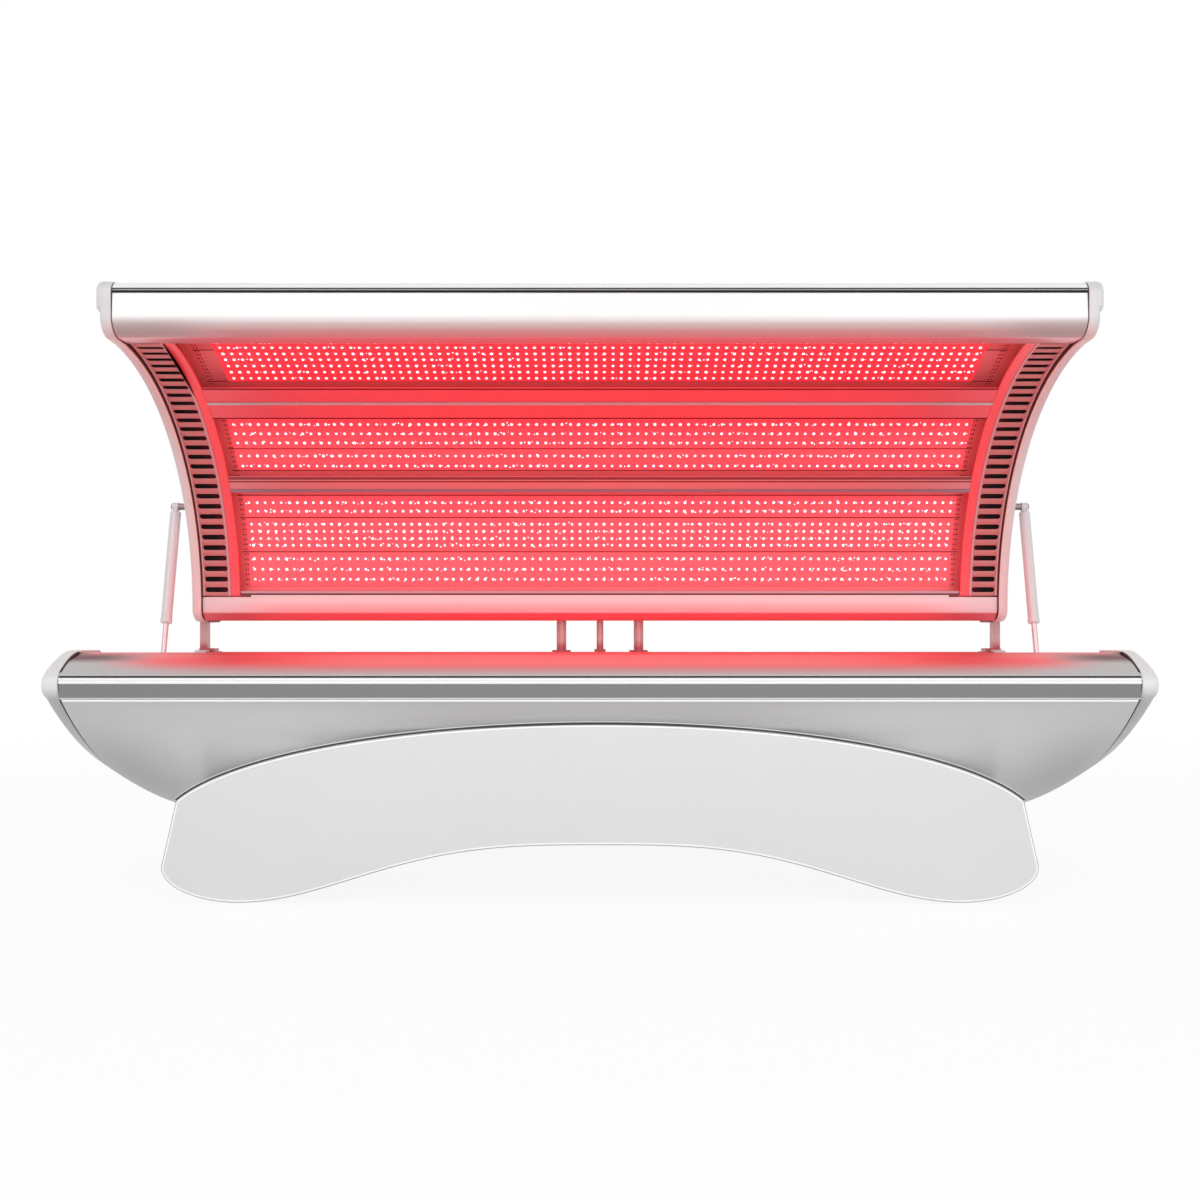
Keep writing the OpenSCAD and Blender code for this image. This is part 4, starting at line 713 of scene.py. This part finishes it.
def skirts():
    ceiling = hull_gap_z(SKIRT_IN) - SEAM
    for side, name in ((-1, "front"), (1, "rear")):
        outline = skirt_outline(400)
        loops = [[(x, side * SKIRT_Y, z) for x, z in outline],
                 [(x, side * SKIRT_IN, z) for x, z in skirt_outline(ceiling)]]
        panel = piece(name + "_skirt_panel", *rings(loops), "bench", "white_panel", [name + "_skirt"])
        if side > 0:
            cut(panel, [box_cutter(INLET_LOW, INLET_HIGH)])
        # The rounded edges take the grey second material: painted shade along the panel's edge.
        panel.data.materials.append(MATS["panel_shade_rim"])
        round_edges(panel, 3.2, 4, 50)
        panel.modifiers["rounded edges"].material = 1
        skirt_edge_highlight(name, side, outline)
        # A grey ribbon along the gap between the skirt and the hull: painted shade in the gap.
        skirt_ribbon(name + "_skirt_gap_shade", side, -0.3, 3.6, SKIRT_IN + 1, SKIRT_Y - 3, "grey_gap")
        skirt_ribbon(name + "_skirt_lip", side, 3.6, 5.4, SKIRT_IN + 1, SKIRT_Y - 4, "white_panel")
        shelf = []
        for x in SKIRT_XS:
            z = min(skirt_top(x), ceiling)
            reach = math.sqrt(GAP_R ** 2 - (BELLY_Z - z) ** 2)
            under = math.sqrt(GAP_R ** 2 - (BELLY_Z - z + SHELF_T) ** 2)
            y0 = side * (SKIRT_IN - 0.2)
            shelf.append([(x, y0, z - 0.2), (x, y0, z - SHELF_T),
                          (x, side * min(SKIRT_IN - 1, under), z - SHELF_T),
                          (x, side * min(SKIRT_IN - 0.9, reach), z - 0.2)])
        piece(name + "_skirt_shelf", *rings(shelf), "bench", "white_panel", (), 50)


skirts()


# Canopy extrusions

NOSE_FRONT = -290
NOSE_BACK = -205
NOSE_LOW = 1197
NOSE_H = 119
NOSE_LOW_R = 40
NOSE_HIGH_R = 28
NOSE_HIGH_C = Vector((NOSE_FRONT + NOSE_HIGH_R, NOSE_LOW + NOSE_H - NOSE_HIGH_R))
SHELL_WALL = 4
SHELL_FOOT = 592
CANOPY_FAN_X = 800
CANOPY_FAN_ANGLE = 28


def nose_front(grow=0.0):
    low = (NOSE_FRONT + NOSE_LOW_R, NOSE_LOW + NOSE_LOW_R)
    return arc(low, NOSE_LOW_R + grow, 270, 180, 18), arc(NOSE_HIGH_C, NOSE_HIGH_R + grow, 180, 96, 42)


# Grooves along the nose: direction and half width in degrees, and the painted shade laid in them
NOSE_LINES = ((175, 5.4, "dark_gap"), (160.5, 3.6, "grey_gap"))


def canopy_nose():
    low, high = nose_front()
    grooved = []
    for p in high:
        out = p - NOSE_HIGH_C
        a = math.degrees(math.atan2(out[1], out[0]))
        deep = 2.4 if any(abs(a - line) < half_w for line, half_w, mat in NOSE_LINES) else 0
        grooved.append(NOSE_HIGH_C + out.normalized() * (NOSE_HIGH_R - deep))
    top_in = SHELL[1] + math.sqrt(SHELL_R ** 2 - (NOSE_BACK - SHELL[0]) ** 2)
    outline = [Vector((NOSE_BACK, NOSE_LOW + 1))] + low + grooved + [Vector((NOSE_BACK, top_in))]
    piece("canopy_nose_cover", *prism(outline, -RUN_X, RUN_X), "canopy", "nose_aluminium",
          ["canopy_nose"], 28)
    for i, (line, half_w, mat) in enumerate(NOSE_LINES):
        ends = (line - half_w, line + half_w)
        shape = [turn(NOSE_HIGH_C, 27.3, a) for a in ends]
        shape += [turn(NOSE_HIGH_C, 25.2, a) for a in reversed(ends)]
        piece("nose_groove_shade_%d" % (i + 1), *prism(shape, -RUN_X, RUN_X), "canopy", mat, (), 60)


def bottom_rail():
    face, low, foot = 309, 587, 609
    outline = [(face, 649), (face + 1, 650), (333, 650), (333, low), (330, low), (328, low + 1),
               (326, low + 3), (face + 3.2, foot - 4.4), (face + 1.2, foot - 1.6), (face, foot + 2),
               (face, foot + 3.2), (face + 1.4, foot + 3.4), (face + 1.4, foot + 6.4), (face, foot + 6.6)]
    piece("bottom_rail_cover", *prism([Vector(p) for p in outline], -RUN_X, RUN_X), "canopy",
          "rail_aluminium", ["bottom_rail"], 28)


def sheet_channel():
    """The profile on the bottom rail that holds the lower sheet, coloured with painted red light on its top,
    painted shade in its groove and a painted highlight on its lip.
    """
    back = 317
    for name, reach, front, low, high, mat in (("lip", 936, 312.6, 650.2, 655.2, "channel_cream"),
                                               ("groove", 964, 315.2, 650.2, 660, "channel_brown"),
                                               ("top", 964, 313.6, 659.8, 666.4, "channel_lilac")):
        shape = rectangle(front, low, back, high)
        bar = piece("sheet_channel_" + name, *prism(shape, -reach, reach), "canopy", mat)
        round_edges(bar, 0.8)


def canopy_shell():
    ease = 0.05
    inner_r = SHELL_R - SHELL_WALL
    low = math.degrees(math.asin((SHELL_FOOT - SHELL[1]) / SHELL_R))
    high = math.degrees(math.acos((NOSE_BACK + ease - SHELL[0]) / inner_r))
    outline = curved_plate(inner_r, SHELL_R, low, high, 110, SHELL)
    shell = piece("canopy_shell_cover", *prism(outline, -RUN_X, RUN_X), "canopy", "white_shell",
                  ["canopy_shell"], 30)
    away = math.radians(CANOPY_FAN_ANGLE)
    axis = (0, math.cos(away), math.sin(away))
    place = turn(SHELL, SHELL_R, CANOPY_FAN_ANGLE)
    cut(shell, [round_cutter((s * CANOPY_FAN_X, place[0], place[1]), axis, FAN_HOLE_R, FAN_HOLE_LENGTH)
                for s in (-1, 1)])
    shade(shell, 30)


canopy_nose()
bottom_rail()
sheet_channel()
canopy_shell()


# Canopy end caps

CAP_FACE = 1091
CAP_GROW = 3
POST_NOTCH_LOW = (340, 560)
POST_NOTCH_HIGH = (412, 601)


def canopy_cap_outline():
    low_z = HINGE[1] - 28 - CAP_GROW
    r_out = SHELL_R + CAP_GROW
    front = 302
    a_low = math.degrees(math.asin((low_z + 30 - ARC[1]) / CAP_R))
    inner = arc(ARC, CAP_R, 84, a_low, 70)
    chin = [Vector((front + y, low_z + z))
            for y, z in ((1.5, 22), (5, 15), (11, 9), (20, 4), (30, 0.8), (38, 0))]
    back = [Vector((SHELL[0] + r_out - y, low_z + z)) for y, z in ((22, 0), (13, 2), (5, 7))]
    a_back = math.degrees(math.asin((low_z + 16 - SHELL[1]) / r_out))
    outer = arc(SHELL, r_out, a_back, 91.4, 90)
    low, high = nose_front(CAP_GROW)
    return inner + chin + back + outer + list(reversed(high)) + list(reversed(low))


def bulb_outline():
    """The end of the nose, which stands proud of the cap's outer face."""
    high = nose_front(CAP_GROW)[1]
    front, back = NOSE_FRONT - CAP_GROW, NOSE_BACK + 8
    top = SHELL[1] + math.sqrt((SHELL_R + CAP_GROW) ** 2 - (back - SHELL[0]) ** 2)
    low = NOSE_LOW + 49
    return list(reversed(high)) + [Vector(p) for p in (
        (front, low + 16), (front + 2, low + 8), (front + 7, low + 3), (front + 14, low + 1),
        (front + 30, low), (back - 24, low + 2), (back - 10, low + 8), (back - 2, low + 20),
        (back, low + 34), (back, top - 8), (back - 3, top - 2), (back - 10, top))]


def canopy_caps():
    outline = canopy_cap_outline()
    wall = 3
    rounding = [(0, 1.2), (0.03, 0.35), (0.08, 0), (0.5, 0), (0.78, 0.3), (0.88, 1.0), (0.95, 2.2), (1, 4.2)]
    bulge = [(0, 0), (0.35, 0.15), (0.6, 0.8), (0.8, 2.2), (0.93, 4.4), (1, 7)]
    for side, name in ENDS:
        def loop(shape, x, draw):
            return [(side * x, p[0], p[1]) for p in inset(shape, draw)]
        width = CAP_FACE - CAP_X
        loops = [loop(outline, CAP_FACE - wall, wall + 1.6), loop(outline, CAP_X, wall)]
        loops += [loop(outline, CAP_X + width * along, draw) for along, draw in rounding]
        cap = piece("canopy_cap_cover_" + name, *rings(loops), "canopy", "white_cap_high",
                    ["canopy_cap_" + name], 50)
        low_x, high_x = sorted((side * (CAP_X - 5), side * (CAP_FACE + 5)))
        cut(cap, [box_cutter((low_x, *POST_NOTCH_LOW), (high_x, *POST_NOTCH_HIGH))])
        shade(cap, 50)
        depth = HALF - CAP_FACE + 6
        loops = [loop(bulb_outline(), HALF - depth + depth * along, draw) for along, draw in bulge]
        piece("canopy_cap_bulb_" + name, *rings(loops), "canopy", "white_cap_high", (), 50)
        # A thin bright strip along the cap's inner edge: a painted highlight.
        bead = curved_plate(CAP_R - 0.9, CAP_R + 0.6, 3.5, 83, 80)
        piece("canopy_cap_bead_" + name, *end_prism(bead, side, CAP_X + 0.2, CAP_X + 3), "canopy",
              "cap_bead", (), 50)


canopy_caps()


# Slotted bands, edge strips, sheets and cross rails

def to_arc(radius, degrees, x):
    p = turn(ARC, radius, degrees)
    return (x, p[0], p[1])


BAND_START = 2.8
BAND_END = 83.4
SLOT_R = 6.5
SLOT_HALF = 30.5
SLOT_OUT = 1058
SLOT_FIRST = 4.4
SLOT_STEP = 2.77
SLOTS = 29
SLOT_SIDES = 40


def slot_loops(mid, low, high):
    """A slot with round ends, and the rectangle round it, as (along the bed, degrees) points."""
    slot, border = [], []
    centre = SLOT_OUT - SLOT_HALF
    middle = (STRIP_X + RUN_X) / 2
    half_side = SLOT_SIDES // 2
    for k in range(SLOT_SIDES):
        end = 1 if k < half_side else -1
        u = (k % half_side + 0.5) / half_side
        t = math.radians(-90 + 180 * u) * end
        height = SLOT_R * math.sin(t)
        slot.append((centre + end * (SLOT_HALF - SLOT_R + SLOT_R * math.cos(t)),
                     mid + math.degrees(height / BAND_R)))
        sweep = max(-1, min(1, 4 * (u - 0.5))) * end
        run = min(1, 4 * min(u, 1 - u))
        reach = high - mid if sweep > 0 else mid - low
        border.append((middle + end * (RUN_X - STRIP_X) / 2 * run, mid + sweep * reach))
    return slot, border


def along_band(inner, outer):
    """The outline of a sheet along the slotted band, between two distances outside the band."""
    return curved_plate(BAND_R + inner, BAND_R + outer, BAND_START, BAND_END, 90)


def vent_bands():
    for side, name in ENDS:
        verts, faces = [], []
        for i in range(SLOTS):
            mid = SLOT_FIRST + SLOT_STEP * i
            low = BAND_START if i == 0 else mid - SLOT_STEP / 2
            high = BAND_END if i == SLOTS - 1 else mid + SLOT_STEP / 2
            start = len(verts)
            for points in slot_loops(mid, low, high):
                verts.extend(to_arc(BAND_R, a, side * x) for x, a in points)
            n = SLOT_SIDES
            faces += [[start + k, start + (k + 1) % n, start + n + (k + 1) % n, start + n + k]
                      for k in range(n)]
        band = piece("vent_band_cover_" + name, verts, faces, "canopy", "vent_panel",
                     ["vent_band_" + name], 180)
        thick = band.modifiers.new("sheet", "SOLIDIFY")
        thick.thickness = 3 * MM
        thick.offset = 0
        edges = band.modifiers.new("edges", "BEVEL")
        edges.width = 0.5 * MM
        edges.limit_method = "ANGLE"
        edges.angle_limit = math.radians(50)
        # A dark sheet behind the slots: painted shade, with a painted red reflection towards the middle.
        piece("vent_filter_" + name, *end_prism(along_band(4.5, 6), side, STRIP_X + 2, RUN_X - 0.5), "canopy",
              "vent_filter", (), 50)
        for border, near, far, lift, mat in (("inner", STRIP_X, STRIP_X + 6.5, 2.6, "band_border"),
                                             ("outer", RUN_X - 4, RUN_X, 2.9, "outer_border")):
            rail = piece("band_%s_border_%s" % (border, name),
                         *end_prism(along_band(-lift, -1.4), side, near, far), "canopy", mat)
            round_edges(rail, 0.8)


def edge_strips():
    for side, name in ENDS:
        strip = piece("edge_strip_" + name, *end_prism(along_band(-1.8, 3), side, STRIP_X - STRIP_W, STRIP_X),
                      "canopy", "red_strip", ["edge_strips"])
        round_edges(strip, 1.2)


# Plates, with their angles, the angle of the web behind them and its far end
RAIL_PLATES = (("low", 30.4, 34.8, 31.25, 626.9), ("high", 52, 62.3, 54.5, 625))
# Beads and lines on the plates, with their height and their angles
RAIL_LINES = (("bead_low", 4, 30.5, 31.25, "bead_low"), ("bead_high", 4, 56.75, 57.45, "bead_high"),
              ("shade_low", 0.6, 33.95, 34.7, "rail_shade"), ("line_low", 0.9, 33.25, 33.5, "seam"),
              ("line_high", 0.9, 61.85, 62.2, "seam"), ("foot_high", 0.9, 52.05, 52.3, "seam"))


def cross_rails():
    reach = STRIP_X - STRIP_W
    half_web = math.degrees(1 / 600)
    for name, low, high, middle, web_end in RAIL_PLATES:
        shape = curved_plate(BAND_R - 1, BAND_R + 2.6, low, high, 14)
        plate = piece("cross_rail_plate_" + name, *prism(shape, -reach, reach), "canopy",
                      "plate_" + name, ["canopy_cross_rails"])
        round_edges(plate, 0.6, 2)
        web = curved_plate(BAND_R + 2.6, web_end, middle - half_web, middle + half_web, 1)
        piece("cross_rail_web_" + name, *prism(web, -reach, reach), "canopy", "tray_aluminium")
    for name, deep, low, high, mat in RAIL_LINES:
        shape = curved_plate(BAND_R - 1 - deep, BAND_R - 1.1 + 0.3, low, high, 6)
        strip = piece("cross_rail_" + name, *prism(shape, -reach, reach), "canopy", mat)
        if deep > 1:
            round_edges(strip, 1.0)


vent_bands()
edge_strips()
cross_rails()


# Lamps

FACETS = [5, 13.7, 22.3, 28, 34.5, 40.3, 49, 60, 71, 82]
TRAY_R = 628
BOARD_T = 3
COLUMNS = 88
LAMP_SIDES = 8
LAMP_R = 3.6
HALO_R = 5.4
LAMP_JITTER = 0.5


def board_place(centre, vertex_r, low, high, degrees, lift):
    """The point on a facet's board in the direction of an angle, and the way out of the board."""
    mid = (low + high) / 2
    reach = (vertex_r * math.cos(math.radians((high - low) / 2)) - BOARD_T - lift) \
        / math.cos(math.radians(degrees - mid))
    away = turn((0, 0), 1, mid)
    return turn(centre, reach, degrees), Vector((0, -away[0], -away[1]))


def add_dome(verts, faces, base, up, radius):
    side = Vector((1, 0, 0))
    other = up.cross(side)
    start = len(verts)
    for r, h in ((radius, 0.0), (radius * 0.8, radius * 0.6)):
        verts += ring(base + up * h, side, other, r, LAMP_SIDES)
    verts.append(base + up * radius * 0.95)
    for j in range(LAMP_SIDES):
        n = (j + 1) % LAMP_SIDES
        faces.append([start + j, start + n, start + LAMP_SIDES + n, start + LAMP_SIDES + j])
        faces.append([start + LAMP_SIDES + j, start + LAMP_SIDES + n, start + 2 * LAMP_SIDES])
    faces.append([start + j for j in reversed(range(LAMP_SIDES))])


def add_disc(verts, faces, base, up, levels, shift=0.0):
    """A flat disc on a board, through two levels of (height, radius)."""
    side = Vector((1, 0, 0))
    other = up.cross(side)
    start = len(verts)
    for height, radius in levels:
        verts += ring(base + up * height, side, other, radius, LAMP_SIDES, shift)
    for j in range(LAMP_SIDES):
        n = (j + 1) % LAMP_SIDES
        faces.append([start + j, start + n, start + LAMP_SIDES + n, start + LAMP_SIDES + j])
    faces.append([start + LAMP_SIDES + j for j in range(LAMP_SIDES)])
    faces.append([start + j for j in reversed(range(LAMP_SIDES))])


def lamp_rows(name, body, rows, half_length, place, glints=0.0):
    """Domes with discs of painted glow round them, row by row, and small painted glints between them."""
    dome_v, dome_f, halo_v, halo_f = [], [], [], []
    side = Vector((1, 0, 0))
    for row in rows:
        point, up = place(row, 0.0)
        other = up.cross(side)
        for k in range(COLUMNS):
            x = -half_length + 2 * half_length * k / (COLUMNS - 1) + random.uniform(-LAMP_JITTER, LAMP_JITTER)
            base = Vector((x, point[0], point[1]))
            add_dome(dome_v, dome_f, base, up, LAMP_R * random.uniform(0.82, 1.12))
            # Small glowing domes beside some lamps: painted glints.
            for chance in (0.5, 0.3):
                if random.random() < glints * chance:
                    spot = base + side * random.uniform(-11, 11) + other * random.uniform(-5, 5)
                    add_dome(dome_v, dome_f, spot, up, random.uniform(0.9, 1.9))
            add_disc(halo_v, halo_f, base, up, ((0.05, HALO_R), (0.7, HALO_R * 0.93)), 0.5)
    piece(name + "_lamps", dome_v, dome_f, body, "lamp", (), 60)
    piece(name + "_glow_halos", halo_v, halo_f, body, "halo", (), 30)


def canopy_place(degrees, lift):
    for low, high in zip(FACETS, FACETS[1:]):
        if low <= degrees <= high:
            return board_place(ARC, TRAY_R, low, high, degrees, lift)


BENCH_FACET = 16
BENCH_FIRST = -130
SHEET_T = 5
LAMP_SPACE = 32
BENCH_R = (SEAT_R + SHEET_T + LAMP_SPACE + BOARD_T) / math.cos(math.radians(BENCH_FACET / 2))
BENCH_C = Vector((0, SEAT_Z))


def bench_place(degrees, lift):
    low = BENCH_FIRST + BENCH_FACET * math.floor((degrees - BENCH_FIRST) / BENCH_FACET)
    return board_place(BENCH_C, BENCH_R, low, low + BENCH_FACET, degrees, lift)


# Rows of lamps on the canopy's boards: half the length, the share of painted glints, the angles
for name, half_length, glints, rows in (
        ("canopy_low", 935, 0.9, [6.9, 9.4, 12.0, 15.4, 17.1, 18.9, 20.7, 24.0, 26.2]),
        ("canopy_mid", 935, 0.8, [35.8, 38.5, 42.1, 44.7, 47.3]),
        ("canopy_top", 895, 0.4, [61.5, 63.7, 65.9, 68.1, 70.1, 72.6, 74.9, 77.2, 79.6])):
    lamp_rows(name, "canopy", rows, half_length, canopy_place, glints)
bench_rows = [BENCH_FIRST + BENCH_FACET * i + o for i in range(5) for o in (2.6, 5.3, 8, 10.7, 13.4)]
lamp_rows("bench", "bench", bench_rows, 950, bench_place)


# Joints between the trays' facets, and the small holes by their ends

def tray_seams():
    verts, faces = [], []
    reach = STRIP_X - STRIP_W
    half_w = 0.9
    for vertex in FACETS[1:-1]:
        away = turn((0, 0), 1, vertex)
        run = Vector((-away[1], away[0])) * half_w
        out, back = ARC + away * (TRAY_R - 1.2), ARC + away * (TRAY_R - 0.1)
        v, f = prism([out - run, out + run, back + run, back - run], -reach, reach)
        start = len(verts)
        verts += v
        faces += [[start + i for i in face] for face in f]
    piece("tray_seams", verts, faces, "canopy", "seam", (), 30)


def tray_holes():
    verts, faces = [], []
    radius, pitch = 2.1, 1.25
    count = int((FACETS[-1] - FACETS[0] - 1) / pitch)
    for column in (952, 959):
        for i in range(count):
            point, up = canopy_place(FACETS[0] + 0.6 + pitch * i, -BOARD_T + 0.15)
            for side in (1, -1):
                base = Vector((side * column, point[0], point[1]))
                add_disc(verts, faces, base, up, ((0, radius), (0.4, radius)))
    piece("tray_holes", verts, faces, "canopy", "seam", (), 30)


tray_seams()
tray_holes()


# Strut fittings

STRUT_X = 1136
STRUT_TOP = Vector((310, 892))
STRUT_LOW = Vector((175, 328))


def strut_trim():
    down = (STRUT_LOW - STRUT_TOP).normalized()
    axis = Vector((0, down[0], down[1]))
    shoulder = [(13.5, 8.2), (14, 10.5), (16, 13.2), (17.8, 14.1)]
    boss = [(0, 16), (4, 16), (6.5, 15), (8.5, 12.5), (10, 10.5)]
    for side, name in ENDS:
        top = Vector((side * STRUT_X, STRUT_TOP[0], STRUT_TOP[1]))
        piece("strut_shoulder_" + name, *turned(top, axis, shoulder, 32), "strut_tube_" + name, "strut_tube")
        foot = Vector((side * (CAP_FACE - 1), STRUT_TOP[0], STRUT_TOP[1]))
        piece("stud_boss_" + name, *turned(foot, (side, 0, 0), boss, 32), "canopy", "white_cap_high")


strut_trim()


# Floor, light and camera

def seen_white(tree, lit, share):
    """Mixes plain white into what the camera, mirrors and glass see of a surface."""
    white = tree.nodes.new("ShaderNodeEmission")
    white.inputs["Color"].default_value = (1, 1, 1, 1)
    white.inputs["Strength"].default_value = 1.0
    path = tree.nodes.new("ShaderNodeLightPath")
    seen = math_node(tree, "MAXIMUM", path.outputs["Is Camera Ray"], path.outputs["Is Glossy Ray"])
    seen = math_node(tree, "MAXIMUM", seen, path.outputs["Is Transmission Ray"])
    mix = tree.nodes.new("ShaderNodeMixShader")
    tree.links.new(math_node(tree, "MULTIPLY", seen, share), mix.inputs[0])
    tree.links.new(lit, mix.inputs[1])
    tree.links.new(white.outputs[0], mix.inputs[2])
    return mix.outputs[0]


def far_white(tree):
    """The share of white grows away from the object, so that the floor meets the backdrop without a line."""
    where = tree.nodes.new("ShaderNodeTexCoord")
    length = tree.nodes.new("ShaderNodeVectorMath")
    length.operation = "LENGTH"
    tree.links.new(where.outputs["Object"], length.inputs[0])
    ramp = smooth_ramp(tree, length.outputs["Value"], 2, 6)
    ramp.inputs["To Min"].default_value = 0.92
    ramp.inputs["To Max"].default_value = 1.0
    return ramp.outputs[0]


def stage_floor():
    mesh = bpy.data.meshes.new("studio_floor")
    reach = 14
    mesh.from_pydata([(-reach, -reach, 0), (reach, -reach, 0), (reach, reach, 0), (-reach, reach, 0)], [],
                     [(0, 1, 2, 3)])
    floor = add_object("studio_floor", mesh)
    mat = bpy.data.materials.new("studio floor")
    mat.use_nodes = True
    tree = mat.node_tree
    shader = tree.nodes["Principled BSDF"]
    shader.inputs["Base Color"].default_value = (0.96, 0.96, 0.96, 1)
    shader.inputs["Roughness"].default_value = 0.9
    shader.inputs["Specular IOR Level"].default_value = 0.0
    surface = tree.nodes["Material Output"].inputs["Surface"]
    tree.links.new(seen_white(tree, shader.outputs[0], far_white(tree)), surface)
    floor.data.materials.append(mat)


def area_light(name, place, target, width, height, power):
    light = bpy.data.lights.new(name, "AREA")
    light.shape = "RECTANGLE"
    light.size = width
    light.size_y = height
    light.energy = power
    obj = add_object(name, light)
    obj.location = place
    obj.rotation_euler = (Vector(target) - Vector(place)).to_track_quat("-Z", "Y").to_euler()
    obj.visible_camera = False


def studio():
    stage_floor()
    world = bpy.data.worlds.new("studio")
    bpy.context.scene.world = world
    world.use_nodes = True
    tree = world.node_tree
    background = tree.nodes["Background"]
    background.inputs["Color"].default_value = (1, 1, 1, 1)
    background.inputs["Strength"].default_value = 0.56
    surface = tree.nodes["World Output"].inputs["Surface"]
    tree.links.new(seen_white(tree, background.outputs[0], 1.0), surface)
    area_light("key", (-2.2, -4.2, 3.6), (0, 0, 0.6), 3.5, 2.5, 50)
    area_light("fill", (2.6, -3.8, 2.2), (0, 0, 0.5), 3.0, 2.0, 30)
    area_light("low", (0, -3.6, 0.35), (0, 0, 0.25), 4.0, 0.6, 18)
    area_light("back", (0, 4.0, 3.2), (0, 0, 0.8), 4.0, 2.0, 38)


CAMERA_Y = -2.90675
EYE_HEIGHT = 0.508


def camera():
    focal_px, image_px, horizon_px = 1200, 1200, 650
    data = bpy.data.cameras.new("camera")
    data.sensor_width = 36
    data.lens = 36 * focal_px / image_px
    data.shift_y = (horizon_px - image_px / 2) / image_px
    obj = add_object("camera", data)
    obj.location = (0, CAMERA_Y, EYE_HEIGHT)
    obj.rotation_euler = (math.pi / 2, 0, 0)
    bpy.context.scene.camera = obj


studio()
camera()
bpy.context.scene.view_settings.view_transform = "Standard"
